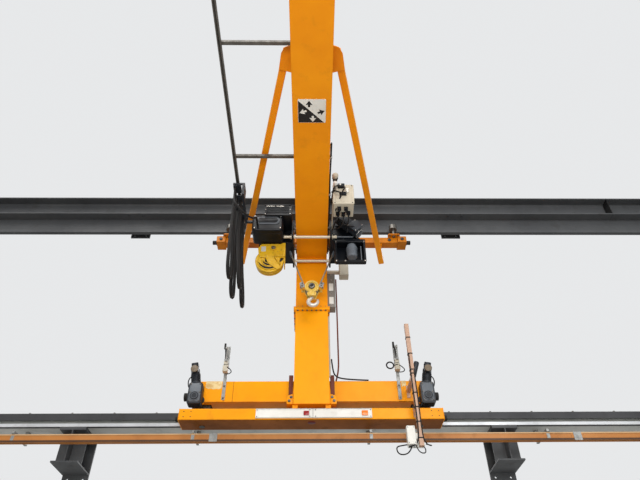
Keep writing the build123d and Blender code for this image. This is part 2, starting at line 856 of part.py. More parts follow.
with BuildPart() as festoon_rail:
    rail_length = festoon_y1 - jib_tip_y
    with BuildSketch(Plane.XZ.offset(-festoon_y1)):
        with Locations((festoon_row_x, festoon_z0 + festoon_height / 2)):
            Rectangle(festoon_width, festoon_height)
            inside = (festoon_width - 2 * festoon_wall, festoon_height - 2 * festoon_wall)
            Rectangle(inside[0], inside[1], mode=Mode.SUBTRACT)
        with Locations((festoon_row_x, festoon_z0 + festoon_wall / 2)):
            Rectangle(festoon_slot, festoon_wall, mode=Mode.SUBTRACT)
    extrude(amount=rail_length)
    arm_x0 = festoon_row_x - festoon_width / 2
    arm_x1 = crane_x - jib_web_spread / 2
    for y in festoon_arm_ys:
        with BuildSketch(section_plane(arm_x0, y, festoon_z1 + arm_size / 2)):
            tube_section(arm_size, arm_size, 4.0, 5.0)
        extrude(amount=arm_x1 - arm_x0)
        block((arm_x1 - 10.0, arm_x1), (y - 50.0, y + 50.0), (festoon_z1 - 20.0, festoon_z1))
        lug_z0 = festoon_z1 + arm_size
        block((arm_x1 - 10.0, arm_x1), (y - 50.0, y + 50.0), (lug_z0, lug_z0 + 20.0))
    saddle(clamp_y)
    block(
        (festoon_row_x - 14.0, festoon_row_x + 14.0),
        (clamp_y - 30.0, clamp_y + 30.0),
        (saddle_z1, festoon_z0),
    )
keep(festoon_rail, "festoon_rail")

neck_thickness = 5.0
festoon_roller = 9.0
festoon_roller_width = 9.0


def cable_trolley(y):
    """One cable trolley: rollers inside the rail, a neck through its slot, and a saddle."""
    roller_z = festoon_z0 + festoon_wall + running_gap + festoon_roller
    with BuildPart() as trolley:
        saddle(y)
        block(
            (festoon_row_x - neck_thickness / 2, festoon_row_x + neck_thickness / 2),
            (y - 30.0, y + 30.0),
            (saddle_z1, roller_z + 5.0),
        )
        for side in (-1, 1):
            roller_x = festoon_row_x + side * (neck_thickness + festoon_roller_width) / 2
            for roller_y in (y - 18.0, y + 18.0):
                rod("x", (roller_x, roller_y, roller_z), festoon_roller, festoon_roller_width)
    return trolley


cable_trolley_ys = [clamp_y - (i + 1) * saddle_pitch for i in range(cable_trolleys)]
for i, y in enumerate(cable_trolley_ys):
    keep(cable_trolley(y), f"cable_trolley_{i + 1}")


def cord_tube(points, diameter):
    """A cord's tube along straight runs and the largest arcs that join them."""
    radii = cord_radii(points)
    print("cord arcs, mm:", [round(r) for r in radii])
    with BuildPart() as tube:
        with BuildLine() as route:
            FilletPolyline(*points, radius=radii)
        path = route.wire()
        start = Plane(origin=path @ 0, z_dir=path % 0)
        with BuildSketch(start) as ring:
            Circle(diameter / 2)
        sweep(ring.sketch, path=path)
    straight = path.length * pi * diameter**2 / 4
    print("cord volume over section times length:", round(tube.part.volume / straight, 4))
    return tube


def loop_points(index):
    """The route of one loop: down from one trolley, wide at the foot, and up to the next."""
    x = festoon_row_x + (-loop_shift if index % 2 else loop_shift)
    lean = loop_leans[index % 2]
    wall_y = clamp_y - index * saddle_pitch - loop_leg
    hall_y = wall_y - saddle_pitch + 2 * loop_leg
    middle = (wall_y + hall_y) / 2
    foot = loop_bottom_z + 14.0 * index
    top = saddle_z0 - seat_gap
    return [
        (x, wall_y, top),
        (x, wall_y, 2340.0),
        (x + 0.35 * lean, middle + 98.0, 1960.0),
        (x + 0.75 * lean, middle + 128.0, 1640.0),
        (x + 0.96 * lean, middle + 134.0, foot + 82.0),
        (x + lean, middle + 58.0, foot),
        (x + lean, middle - 56.0, foot + 2.0),
        (x + 0.95 * lean, middle - 136.0, foot + 78.0),
        (x + 0.74 * lean, middle - 126.0, 1630.0),
        (x + 0.34 * lean, middle - 92.0, 1950.0),
        (x, hall_y, 2330.0),
        (x, hall_y, saddle_z0),
    ]


for i in range(cable_trolleys):
    keep(cord_tube(loop_points(i), cable_diameter), f"cable_loop_{i + 1}")


# Crane: travel drives, signal panel, signs and switches

with BuildPart() as travel_drives:
    flange = 16.0
    gear_y0 = wheel_beam_y0 - flange
    motor_y = gear_y0 - gearbox_depth / 2
    for side in (-1, 1):
        x = crane_x + side * drive_offset
        axle_x = crane_x + side * wheel_offset
        with BuildSketch(Plane.XZ.offset(-gear_y0)):
            with Locations((x, (gearbox_z[0] + gearbox_z[1]) / 2)):
                RectangleRounded(gearbox_width, gearbox_z[1] - gearbox_z[0], 26.0)
        extrude(amount=gearbox_depth)
        chamfer(faces().sort_by(Axis.Y)[0].edges(), 8.0)
        collar = flange - seat_gap
        rod("y", (axle_x, gear_y0 + collar / 2, wheel_z), boss_radius - 6.0, collar)
        rod("y", (x, gear_y0 - gearbox_depth - 5.0, gearbox_z[0] + 92.0), 58.0, 10.0)
        rod("y", (x, gear_y0 - gearbox_depth - 8.0, gearbox_z[0] + 92.0), 36.0, 16.0)
        upward = Vector(side * drive_lean, 0, 1).normalized()
        foot = Vector(x + side * 8.0, motor_y, gearbox_z[1] - 12.0)
        for radius, low, high in (
            (drive_motor_radius + 10.0, 0.0, 28.0),
            (drive_motor_radius, 0.0, drive_motor_length),
            (drive_motor_radius - 10.0, drive_motor_length, drive_motor_length + 82.0),
        ):
            with BuildSketch(Plane(origin=foot + upward * low, x_dir=(0, 1, 0), z_dir=upward)):
                Circle(radius)
            extrude(amount=high - low)
        cap = foot + upward * (drive_motor_length - 24.0)
        rod("y", (cap.X, cap.Y - 50.0, cap.Z), 46.0, 100.0)
        rod("y", (axle_x, wheel_beam_y0 - 4.0, wheel_z), axle_radius + 6.0, 10.0, mode=Mode.SUBTRACT)
keep(travel_drives, "travel_drives")

with BuildPart() as warning_horn:
    horn_x = crane_x + wheel_offset - 82.0
    horn_y = -430.0
    horn_foot = wheel_beam_z1 + 14.0
    lean = Vector(0.33, 0.0, 1.0).normalized()
    block((horn_x - 40.0, horn_x + 40.0), (horn_y - 35.0, horn_y + 35.0), (wheel_beam_z1, horn_foot))
    horn_start = Vector(horn_x, horn_y, horn_foot - 10.0)
    for radius, low, high in ((24.0, 0.0, 260.0), (34.0, 80.0, 280.0)):
        with BuildSketch(Plane(origin=horn_start + lean * low, x_dir=(0, 1, 0), z_dir=lean)):
            Circle(radius)
        extrude(amount=high - low)
    block(
        (horn_x - 90.0, horn_x + 140.0),
        (horn_y - 60.0, horn_y + 60.0),
        (wheel_beam_z1 - 60.0, wheel_beam_z1),
        mode=Mode.SUBTRACT,
    )
keep(warning_horn, "warning_horn")

with BuildPart() as post_gussets:
    gusset_x = post_width / 2 + 16.0
    for side in (-1, 1):
        start_x = crane_x + (gusset_x if side > 0 else -gusset_x - 50.0)
        with BuildSketch(section_plane(start_x, wheel_beam_y0, 500.0)):
            with BuildLine():
                Polyline(
                    (0, 0),
                    (0, 330.0),
                    (-30.0, 330.0),
                    (-52.0, 300.0),
                    (-52.0, 40.0),
                    (-20.0, 0),
                    close=True,
                )
            make_face()
        extrude(amount=50.0)
keep(post_gussets, "post_gussets")

with BuildPart() as signal_panel:
    panel_x = (crane_x - 630.0, crane_x + 680.0)
    panel_z = (176.0, 284.0)
    panel_depth = 12.0
    block(panel_x, (guide_beam_y0 - panel_depth, guide_beam_y0), panel_z)
    divider = crane_x + 20.0
    lens = 46.0
    lens_z = (panel_z[0] + panel_z[1]) / 2
    for x in (crane_x - 60.0, crane_x + 600.0):
        block(
            (x - lens / 2, x + lens / 2),
            (guide_beam_y0 - panel_depth - 5.0, guide_beam_y0 - panel_depth),
            (lens_z - lens / 2, lens_z + lens / 2),
        )
    block(
        (divider - 1.5, divider + 1.5),
        (guide_beam_y0 - panel_depth, guide_beam_y0 - panel_depth + 2.0),
        panel_z,
        mode=Mode.SUBTRACT,
    )
keep(signal_panel, "signal_panel")

with BuildPart() as direction_sign:
    sign_size = 300.0
    sign_y = -3170.0
    sign_thickness = 3.0
    with BuildSketch(Plane.XY.offset(jib_z0 - sign_thickness)):
        with Locations((crane_x, sign_y)):
            RectangleRounded(sign_size, sign_size, 8.0)
    extrude(amount=sign_thickness)
keep(direction_sign, "direction_sign")


with BuildPart() as limit_switches:
    bar_y = (wheel_beam_y0 - 10.0, wheel_beam_y0)
    for x, z_range, way in (
        (crane_x - wheel_offset + 260.0, (520.0, 1120.0), -1),
        (crane_x + wheel_offset - 257.0, (520.0, 1140.0), 1),
    ):
        block((x - 20.0, x + 20.0), bar_y, z_range)
        head = z_range[1]
        block((x - 27.0, x + 27.0), (bar_y[0] - 55.0, bar_y[0]), (head - 190.0, head - 90.0))
        rod("y", (x, bar_y[0] - 68.0, head - 112.0), 14.0, 26.0)
        block((x - 32.0, x + 32.0), (bar_y[0] - 8.0, bar_y[0]), (head - 190.0, head + 120.0))
        rod("z", (x, bar_y[0] - 75.0, head - 30.0), 7.0, 190.0)
        rod("x", (x + way * 12.0, bar_y[0] - 75.0, head + 60.0), 22.0, 14.0)
keep(limit_switches, "limit_switches")


# Crane: collector pole with its current collector

pole_x = crane_x + wheel_offset - 152.0
pole_y = -870.0
pole_size = 50.0
pole_z = (-200.0, 1320.0)

with BuildPart() as collector_pole:
    with BuildSketch(Plane.XY.offset(pole_z[0])):
        with Locations((pole_x, pole_y)):
            tube_section(pole_size, pole_size, 4.0, 5.0)
    extrude(amount=pole_z[1] - pole_z[0])
    arm_xs = (pole_x - 20.0, pole_x + 20.0)
    back = pole_y + pole_size / 2
    block(arm_xs, (back, guide_beam_y0), (210.0, 250.0))
    block(arm_xs, (back, wheel_beam_y0), (600.0, 640.0))
    block(arm_xs, (wheel_beam_y0 - 12.0, wheel_beam_y0), (540.0, 700.0))
    block(arm_xs, (guide_beam_y0 - 12.0, guide_beam_y0), (180.0, 280.0))
keep(collector_pole, "collector_pole")

with BuildPart() as collector:
    shoe_top = conductor_z0 - 14.0
    shoe_z = (shoe_top - 50.0, shoe_top)
    with BuildSketch(Plane.XZ.offset(-(conductor_y + 26.0))):
        with Locations((pole_x, (shoe_z[0] + shoe_z[1]) / 2)):
            RectangleRounded(190.0, shoe_z[1] - shoe_z[0], 14.0)
    extrude(amount=52.0)
    block(
        (pole_x - 55.0, pole_x + 55.0),
        (conductor_y - 4.0, conductor_y + 4.0),
        (shoe_top, conductor_z0 + conductor_wall + 14.0),
    )
    block(
        (pole_x - 15.0, pole_x + 15.0),
        (back, conductor_y - 26.0),
        (shoe_z[0] + 10.0, shoe_z[0] + 40.0),
    )
keep(collector, "collector")

with BuildPart() as collector_box:
    box_width = 92.0
    box_x1 = pole_x - pole_size / 2 - 32.0
    box_z = (-190.0, 12.0)
    with BuildSketch(Plane.XZ.offset(-(pole_y + 30.0))):
        with Locations((box_x1 - box_width / 2, (box_z[0] + box_z[1]) / 2)):
            RectangleRounded(box_width, box_z[1] - box_z[0], 10.0)
    extrude(amount=70.0)
    block((box_x1 - 10.0, pole_x - pole_size / 2), (pole_y - 10.0, pole_y + 10.0), (-120.0, -60.0))
keep(collector_box, "collector_box")

with BuildPart() as junction_boxes:
    side_x = crane_x + post_width / 2
    block((side_x, side_x + 100.0), (-650.0, -520.0), (1740.0, 2290.0))
    block((side_x, side_x + 24.0), (-560.0, -536.0), (780.0, joint_z - joint_plate))
    block((side_x, side_x + 180.0), (-500.0, -440.0), (2440.0, 2470.0))
    with BuildSketch(Plane.XY.offset(2370.0)):
        with Locations((side_x + 180.0 + 65.0, -470.0)):
            RectangleRounded(130.0, 120.0, 10.0)
    extrude(amount=250.0)
keep(junction_boxes, "junction_boxes")


# Hoist trolley: sides, rods and runners

side_x1 = trolley_side_x + side_thickness
carrier_z0 = 2385.0
carrier_z1 = 2410.0
side_top = 2690.0
rod_ys = (trolley_y - rod_spread / 2, trolley_y + rod_spread / 2)
runner_ys = (trolley_y - runner_spread / 2, trolley_y + runner_spread / 2)
runner_axle = 15.0
cover_xs = (crane_x - 772.0, crane_x - 372.0)
cover_y = (-1470.0, -1196.0)
cover_zs = (2364.0, 2640.0)
frame_x0 = crane_x + 300.0
frame_x1 = crane_x + 700.0
frame_ys = (-1240.0, -1180.0)
frame_z0 = 2030.0
frame_wall = 26.0
carrier_back_y = -760.0


def side_plate(side):
    """One side plate of the hoist trolley, bored for the rods and the runners' axles."""
    x = crane_x + side * trolley_side_x
    x0 = min(x, x + side * side_thickness)
    half = 340.0
    height = side_top - carrier_z0
    rod_height = rod_z - carrier_z0
    axle_height = runner_z - carrier_z0
    with BuildSketch(section_plane(x0, trolley_y, carrier_z0)) as plate:
        with BuildLine():
            Polyline(
                (-half, 0),
                (half, 0),
                (half, height - 150.0),
                (half - 70.0, height),
                (70.0 - half, height),
                (-half, height - 150.0),
                close=True,
            )
        make_face()
        fillet(vertices(), 18.0)
        with Locations((-rod_spread / 2, rod_height), (rod_spread / 2, rod_height)):
            Circle(rod_radius + seat_gap, mode=Mode.SUBTRACT)
        with Locations((-runner_spread / 2, axle_height), (runner_spread / 2, axle_height)):
            Circle(runner_axle + seat_gap, mode=Mode.SUBTRACT)
    extrude(plate.sketch, amount=side_thickness)


with BuildPart() as trolley_side_left:
    side_plate(-1)
    block((crane_x - 700.0, crane_x - side_x1), (cover_y[1], carrier_back_y), (carrier_z0, carrier_z1))
    for y in (-1180.0, -830.0):
        with BuildSketch(Plane.XZ.offset(-y)):
            with BuildLine():
                Polyline(
                    (crane_x - side_x1, carrier_z1),
                    (crane_x - 620.0, carrier_z1),
                    (crane_x - 560.0, carrier_z1 + 60.0),
                    (crane_x - side_x1 - 60.0, carrier_z1 + 190.0),
                    (crane_x - side_x1, carrier_z1 + 190.0),
                    close=True,
                )
            make_face()
        extrude(amount=12.0)
keep(trolley_side_left, "trolley_side_left")

with BuildPart() as trolley_side_right:
    side_plate(1)
    block((crane_x + side_x1, frame_x1), (frame_ys[0], carrier_back_y), (carrier_z0, carrier_z1))
    with BuildSketch(Plane.XZ.offset(1100.0)):
        with BuildLine():
            Polyline(
                (crane_x + side_x1, carrier_z1),
                (crane_x + 640.0, carrier_z1),
                (crane_x + 640.0, carrier_z1 + 40.0),
                (crane_x + 400.0, carrier_z1 + 280.0),
                (crane_x + side_x1, carrier_z1 + 280.0),
                close=True,
            )
        make_face()
        fillet(vertices().group_by(Axis.Y)[-1], 20.0)
    extrude(amount=100.0)
keep(trolley_side_right, "trolley_side_right")

with BuildPart() as trolley_rods:
    for y in rod_ys:
        rod("x", (crane_x - 20.0, y, rod_z), rod_radius, 700.0)
        for x in (-side_x1 - 8.0, side_x1 + 8.0):
            rod("x", (crane_x + x, y, rod_z), 30.0, 16.0 - 2 * seat_gap)
keep(trolley_rods, "trolley_rods")

with BuildPart() as trolley_runners:
    inner_face = jib_web_spread / 2 + 14.0
    flange_face = post_width / 2 + 5.5
    for side in (-1, 1):
        for y in runner_ys:
            with BuildSketch(Plane(origin=(crane_x, y, runner_z), x_dir=(side, 0, 0), z_dir=(0, 1, 0))):
                with BuildLine():
                    Polyline(
                        (inner_face, 0),
                        (inner_face, runner_radius - 3.0),
                        (inner_face + 3.0, runner_radius),
                        (flange_face, runner_radius),
                        (flange_face, runner_radius + runner_flange),
                        (flange_face + 9.0, runner_radius + runner_flange),
                        (flange_face + 9.0, runner_axle),
                        (side_x1, runner_axle),
                        (side_x1, 0),
                        close=True,
                    )
                make_face()
            revolve(axis=Axis((crane_x, y, runner_z), (1, 0, 0)))
keep(trolley_runners, "trolley_runners")


# Hoist: left unit with the drum guard, right unit with the motor


with BuildPart() as hoist_cover:
    with BuildSketch(Plane.XZ.offset(-cover_y[1])):
        with Locations(((cover_xs[0] + cover_xs[1]) / 2, (cover_zs[0] + cover_zs[1]) / 2)):
            RectangleRounded(cover_xs[1] - cover_xs[0], cover_zs[1] - cover_zs[0], 48.0)
    extrude(amount=cover_y[1] - cover_y[0])
    fillet(edges().group_by(Axis.Y)[0], 24.0)
    vent_y0 = -1500.0
    block((crane_x - 615.0, crane_x - side_x1), (vent_y0, -1150.0), (2600.0, 2785.0))
    for i in range(4):
        groove_z = 2644.0 + i * 34.0
        block(
            (crane_x - 595.0, crane_x - 300.0),
            (vent_y0, vent_y0 + 6.0),
            (groove_z, groove_z + 8.0),
            mode=Mode.SUBTRACT,
        )
keep(hoist_cover, "hoist_cover")

drum_x = crane_x - 543.0
drum_z = 2090.0
ring = 184.0
groove = 150.0
band = 24.0
slot = 16.0
guard_y0 = -1196.0

with BuildPart() as drum_guard:
    steps = []
    for i in range(3):
        rim = ring - 5.0 * i
        start = 4.0 + i * (band + slot)
        steps += [(start, groove), (start, rim - 6.0), (start + 6.0, rim)]
        steps += [(start + band, rim), (start + band, groove)]
    last = steps[-1][0]
    with BuildSketch(section_plane(drum_x, guard_y0, drum_z)):
        with BuildLine():
            Polyline((4.0, 60.0), *steps, (last, 60.0), close=True)
        make_face()
    revolve(axis=Axis((drum_x, guard_y0, drum_z), (0, 1, 0)))
    with BuildSketch(Plane.XZ.offset(-(guard_y0 + 40.0))):
        with BuildLine():
            Polyline(
                (crane_x - 690.0, 2195.0),
                (crane_x - 664.0, 2130.0),
                (crane_x - 530.0, 2120.0),
                (crane_x - 345.0, 2120.0),
                (crane_x - 345.0, 2344.0),
                (crane_x - 660.0, 2344.0),
                (crane_x - 700.0, 2280.0),
                close=True,
            )
        make_face()
    extrude(amount=52.0)
    with BuildSketch(Plane.XZ.offset(-(guard_y0 + 6.0))):
        with BuildLine():
            Polyline(
                (crane_x - 600.0, 2140.0),
                (crane_x - 560.0, 2030.0),
                (crane_x - 440.0, 1930.0),
                (crane_x - 404.0, 1952.0),
                (crane_x - 420.0, 2020.0),
                (crane_x - 400.0, 2140.0),
                close=True,
            )
        make_face()
    extrude(amount=22.0)
    block((crane_x - 660.0, crane_x - 345.0), (guard_y0 + 4.0, guard_y0 + 40.0), (2320.0, carrier_z0))
    block((crane_x - 357.0, crane_x - 345.0), (guard_y0 - 12.0, guard_y0 + last), (2020.0, 2344.0))
    for i in range(3):
        rib_x = crane_x - 372.0 - i * 18.0
        block((rib_x - 4.0, rib_x + 4.0), (guard_y0 - 18.0, guard_y0), (2140.0, 2338.0))
    rod("y", (crane_x - 500.0, guard_y0 - 22.0, 2275.0), 38.0, 24.0)
    rod("y", (crane_x - 500.0, guard_y0 - 38.0, 2275.0), 22.0, 10.0)
keep(drum_guard, "drum_guard")

with BuildPart() as drum_housing:
    housing_x = crane_x - 525.0
    housing_z = 2235.0
    housing_radius = 118.0
    housing_y1 = -880.0
    housing_y0 = guard_y0 + last
    rod("y", (housing_x, (housing_y0 + housing_y1) / 2, housing_z), housing_radius, housing_y1 - housing_y0)
    rod("y", (housing_x, housing_y1 + 8.0, housing_z), housing_radius - 30.0, 16.0)
    block(
        (housing_x - 90.0, housing_x + 90.0),
        (housing_y0 + 30.0, housing_y1 - 20.0),
        (housing_z, carrier_z0),
    )
keep(drum_housing, "drum_housing")

frame_back_y = -1080.0
back_thickness = 10.0
back_z0 = 2125.0

with BuildPart() as motor_frame:
    with BuildSketch(Plane.XZ.offset(-frame_ys[1])):
        with Locations(((frame_x0 + frame_x1) / 2, (frame_z0 + carrier_z0) / 2)):
            Rectangle(frame_x1 - frame_x0, carrier_z0 - frame_z0)
            fillet(vertices().group_by(Axis.Y)[0], 20.0)
            opening = (frame_x1 - frame_x0 - 2 * frame_wall, carrier_z0 - frame_z0 - 2 * frame_wall)
            RectangleRounded(opening[0], opening[1], 20.0, mode=Mode.SUBTRACT)
    extrude(amount=frame_ys[1] - frame_ys[0])
    for x in (frame_x0, frame_x1 - back_thickness):
        with BuildSketch(section_plane(x, frame_ys[1], carrier_z0)) as cheek_plate:
            with BuildLine():
                Polyline(
                    (0, 0),
                    (0, frame_z0 + 40.0 - carrier_z0),
                    (frame_back_y - frame_ys[1], back_z0 - carrier_z0),
                    (frame_back_y - frame_ys[1], 0),
                    close=True,
                )
            make_face()
        extrude(cheek_plate.sketch, amount=back_thickness)
    block((frame_x0, frame_x1), (frame_back_y - back_thickness, frame_back_y), (back_z0, carrier_z0))
keep(motor_frame, "motor_frame")

with BuildPart() as hoist_motor:
    hoist_motor_x = crane_x + 525.0
    dome = 68.0
    hoist_motor_y = frame_back_y - back_thickness - 8.0 - dome
    motor_foot_z = 2150.0
    motor_head_z = carrier_z0 - frame_wall - 6.0
    with BuildSketch(Plane.XZ.offset(-hoist_motor_y)) as shape:
        with BuildLine():
            Polyline(
                (hoist_motor_x, motor_foot_z),
                (hoist_motor_x + dome - 22.0, motor_foot_z),
                (hoist_motor_x + dome - 6.0, motor_foot_z + 6.0),
                (hoist_motor_x + dome, motor_foot_z + 22.0),
                (hoist_motor_x + dome, motor_foot_z + 126.0),
                (hoist_motor_x + dome + 6.0, motor_foot_z + 130.0),
                (hoist_motor_x + dome + 6.0, motor_foot_z + 160.0),
                (hoist_motor_x + dome - 8.0, motor_foot_z + 164.0),
                (hoist_motor_x + dome - 8.0, motor_head_z),
                (hoist_motor_x, motor_head_z),
                close=True,
            )
        make_face()
    revolve(shape.sketch, axis=Axis((hoist_motor_x, hoist_motor_y, 0), (0, 0, 1)))
    block(
        (hoist_motor_x - 45.0, hoist_motor_x + 45.0),
        (hoist_motor_y, frame_back_y - back_thickness),
        (motor_foot_z + 40.0, motor_head_z - 20.0),
    )
keep(hoist_motor, "hoist_motor")

with BuildPart() as travel_motor:
    slope = Vector(1, 0, -1).normalized()
    motor_radius = 72.0
    plate_y = -1200.0
    start = Vector(crane_x + 362.0, plate_y - motor_radius, 2742.0)
    with BuildSketch(Plane(origin=start, x_dir=(0, 1, 0), z_dir=slope)):
        Circle(motor_radius - 5.0)
    extrude(amount=380.0)
    with BuildSketch(Plane(origin=start + slope * 8.0, x_dir=(0, 1, 0), z_dir=slope)):
        Circle(motor_radius)
    extrude(amount=70.0)
    for i in range(6):
        with BuildSketch(Plane(origin=start + slope * (98.0 + i * 22.0), x_dir=(0, 1, 0), z_dir=slope)):
            Circle(motor_radius)
        extrude(amount=8.0)
    with BuildSketch(Plane(origin=start + slope * 236.0, x_dir=(0, 1, 0), z_dir=slope)):
        Circle(motor_radius)
    extrude(amount=150.0)
    with BuildSketch(Plane(origin=start + slope * 300.0, x_dir=slope, z_dir=(0, -1, 0))):
        Rectangle(120.0, 120.0)
    extrude(amount=motor_radius + 26.0)
    foot = start + slope * 110.0
    with BuildSketch(Plane(origin=(foot.X, plate_y - 30.0, foot.Z), x_dir=slope, z_dir=(0, 1, 0))):
        Rectangle(120.0, 90.0)
    extrude(amount=30.0)
keep(travel_motor, "travel_motor")

with BuildPart() as control_cabinet:
    strap = 12.0
    cabinet_x0 = crane_x + side_x1 + strap
    with BuildSketch(Plane.XZ.offset(1570.0)):
        with Locations((cabinet_x0 + 128.0, 2675.0)):
            RectangleRounded(256.0, 350.0, 12.0)
    extrude(amount=230.0)
    block((crane_x + side_x1, cabinet_x0), (-1760.0, -1240.0), (2560.0, 2640.0))
    beacon_x = cabinet_x0 + 22.0
    beacon_z = 2815.0
    rod("y", (beacon_x, -1880.0, beacon_z), 16.0, 160.0)
    rod("y", (beacon_x, -1944.0, beacon_z), 26.0, 20.0)
    with Locations((beacon_x, -1992.0, beacon_z)):
        Sphere(40.0)
keep(control_cabinet, "control_cabinet")

with BuildPart() as tow_arm:
    arm_x = (festoon_row_x + 70.0, festoon_row_x + 100.0)
    last_y = cable_trolley_ys[-1]
    fork_z = (saddle_z0 + 12.0, saddle_z0 + 40.0)
    fork_gap = 5.5
    front_y = last_y - saddle_length / 2 - fork_gap
    rear_y = last_y + saddle_length / 2 + fork_gap
    fork = 18.0
    fork_x = festoon_row_x - saddle_width / 2
    arm_z = (2530.0, 2560.0)
    block((arm_x[0], cover_xs[0]), (-1440.0, -1410.0), arm_z)
    block(arm_x, (front_y - fork, -1410.0), arm_z)
    block(arm_x, (front_y - fork, rear_y + fork), (arm_z[1], fork_z[1]))
    block((fork_x, arm_x[0]), (front_y - fork, front_y), fork_z)
    block((fork_x, arm_x[0]), (rear_y, rear_y + fork), fork_z)
keep(tow_arm, "tow_arm")

lead_diameter = 26.0
lead_points = [
    (crane_x - 964.0, last_y - 30.0, saddle_z0 - seat_gap),
    (crane_x - 964.0, last_y - 30.0, 2548.0),
    (crane_x - 948.0, last_y - 80.0, 2400.0),
    (crane_x - 884.0, last_y - 68.0, 2302.0),
    (crane_x - 800.0, last_y + 24.0, 2268.0),
    (crane_x - 735.0, last_y + 130.0, 2310.0),
    (crane_x - 704.0, last_y + 192.0, 2392.0),
    (crane_x - 700.0, last_y + 276.0, 2450.0),
    (crane_x - 700.0, cover_y[0], 2450.0),
]
keep(cord_tube(lead_points, lead_diameter), "hoist_lead")


# Hook block on its ropes, and the hook under it

sheave_pitch = 76.0
sheave_outer = 84.0
rope_seat = 4.0
sheave_ys = (trolley_y - rope_gap / 2, trolley_y + rope_gap / 2)
cheek = 10.0
cheek_ys = (trolley_y - 52.0, trolley_y + 42.0)
anchor_x = (-292.0, 296.0)
crosshead_z = (1646.0, 1686.0)
shank_radius = 17.0


def tangent_point(from_x, from_z):
    """Where a rope from a point above meets its sheave, on the side that the point lies."""
    away = hypot(from_x, from_z - block_z)
    towards = atan2(from_z - block_z, from_x)
    swing = acos(sheave_pitch / away)
    angle = towards - swing if from_x > 0 else towards + swing
    return sheave_pitch * cos(angle), block_z + sheave_pitch * sin(angle)


with BuildPart() as ropes:
    for top_x in anchor_x:
        foot_x, foot_z = tangent_point(top_x, carrier_z0)
        for y in sheave_ys:
            foot = Vector(crane_x + foot_x, y, foot_z)
            run = Vector(crane_x + top_x, y, carrier_z0) - foot
            start = foot + run.normalized() * rope_seat
            with BuildSketch(Plane(origin=start, x_dir=(0, 1, 0), z_dir=run.normalized())):
                Circle(rope_radius)
            extrude(amount=run.length + 2 * rope_radius)
    block(
        (crane_x + anchor_x[0] - 50.0, crane_x + anchor_x[1] + 50.0),
        (sheave_ys[0] - 20.0, sheave_ys[1] + 20.0),
        (carrier_z0, carrier_z0 + 50.0),
        mode=Mode.SUBTRACT,
    )
keep(ropes, "ropes")

with BuildPart() as block_cheeks:
    for y in cheek_ys:
        with BuildSketch(Plane.XZ.offset(-(y + cheek))):
            with Locations((crane_x, block_z)):
                Circle(block_radius)
            with BuildLine():
                Polyline(
                    (crane_x - 80.0, block_z - 30.0),
                    (crane_x - 48.0, crosshead_z[0] - 12.0),
                    (crane_x + 48.0, crosshead_z[0] - 12.0),
                    (crane_x + 80.0, block_z - 30.0),
                    close=True,
                )
            make_face()
            with Locations((crane_x, block_z)):
                Circle(22.0 + seat_gap, mode=Mode.SUBTRACT)
            with Locations((crane_x, (crosshead_z[0] + crosshead_z[1]) / 2)):
                Circle(14.0 + seat_gap, mode=Mode.SUBTRACT)
        extrude(amount=cheek)
    for side in (-1, 1):
        guard_x = sorted((crane_x + side * (sheave_outer + 22.0), crane_x + side * (sheave_outer + 50.0)))
        block(guard_x, (cheek_ys[0] + cheek, cheek_ys[1]), (block_z - 6.0, block_z + 10.0))
        arm = sorted((crane_x + side * 84.0, crane_x + side * (sheave_outer + 50.0)))
        for y in (cheek_ys[0] - 6.0, cheek_ys[1] + cheek):
            block(arm, (y, y + 6.0), (block_z - 14.0, block_z + 22.0))
        for y in (cheek_ys[0], cheek_ys[1]):
            block(guard_x, (y, y + cheek), (block_z - 14.0, block_z + 22.0))
    depth = (cheek_ys[0] + cheek, cheek_ys[1])
    block((crane_x - 40.0, crane_x + 40.0), depth, crosshead_z)
    cross_y = (depth[0] + depth[1]) / 2
    for y, way in ((depth[0], -1), (depth[1], 1)):
        rod("y", (crane_x, y + way * 8.0, (crosshead_z[0] + crosshead_z[1]) / 2), 14.0, 16.0)
    rod("z", (crane_x, cross_y, crosshead_z[0]), shank_radius + running_gap, 200.0, mode=Mode.SUBTRACT)
    rod("z", (crane_x, cross_y, crosshead_z[1]), 25.0 + running_gap, 36.0, mode=Mode.SUBTRACT)
keep(block_cheeks, "block_cheeks")

with BuildPart() as block_sheaves:
    for y in sheave_ys:
        with BuildSketch(section_plane(crane_x, y, block_z)):
            with BuildLine():
                Polyline(
                    (-16.0, 0),
                    (-16.0, 40.0),
                    (-8.0, 44.0),
                    (-8.0, 62.0),
                    (-16.0, sheave_outer - 8.0),
                    (-16.0, sheave_outer),
                    (-12.0, sheave_outer),
                    (-4.0, sheave_pitch - rope_radius),
                    (4.0, sheave_pitch - rope_radius),
                    (12.0, sheave_outer),
                    (16.0, sheave_outer),
                    (16.0, sheave_outer - 8.0),
                    (8.0, 62.0),
                    (8.0, 44.0),
                    (16.0, 40.0),
                    (16.0, 0),
                    close=True,
                )
            make_face()
        revolve(axis=Axis((crane_x, y, block_z), (0, 1, 0)))
    pin_y0 = cheek_ys[0] - 16.0
    pin_y1 = cheek_ys[1] + cheek + 16.0
    rod("y", (crane_x, (pin_y0 + pin_y1) / 2, block_z), 22.0, pin_y1 - pin_y0)
    rod("y", (crane_x, pin_y0 - 4.0, block_z), 38.0, 12.0)
keep(block_sheaves, "block_sheaves")

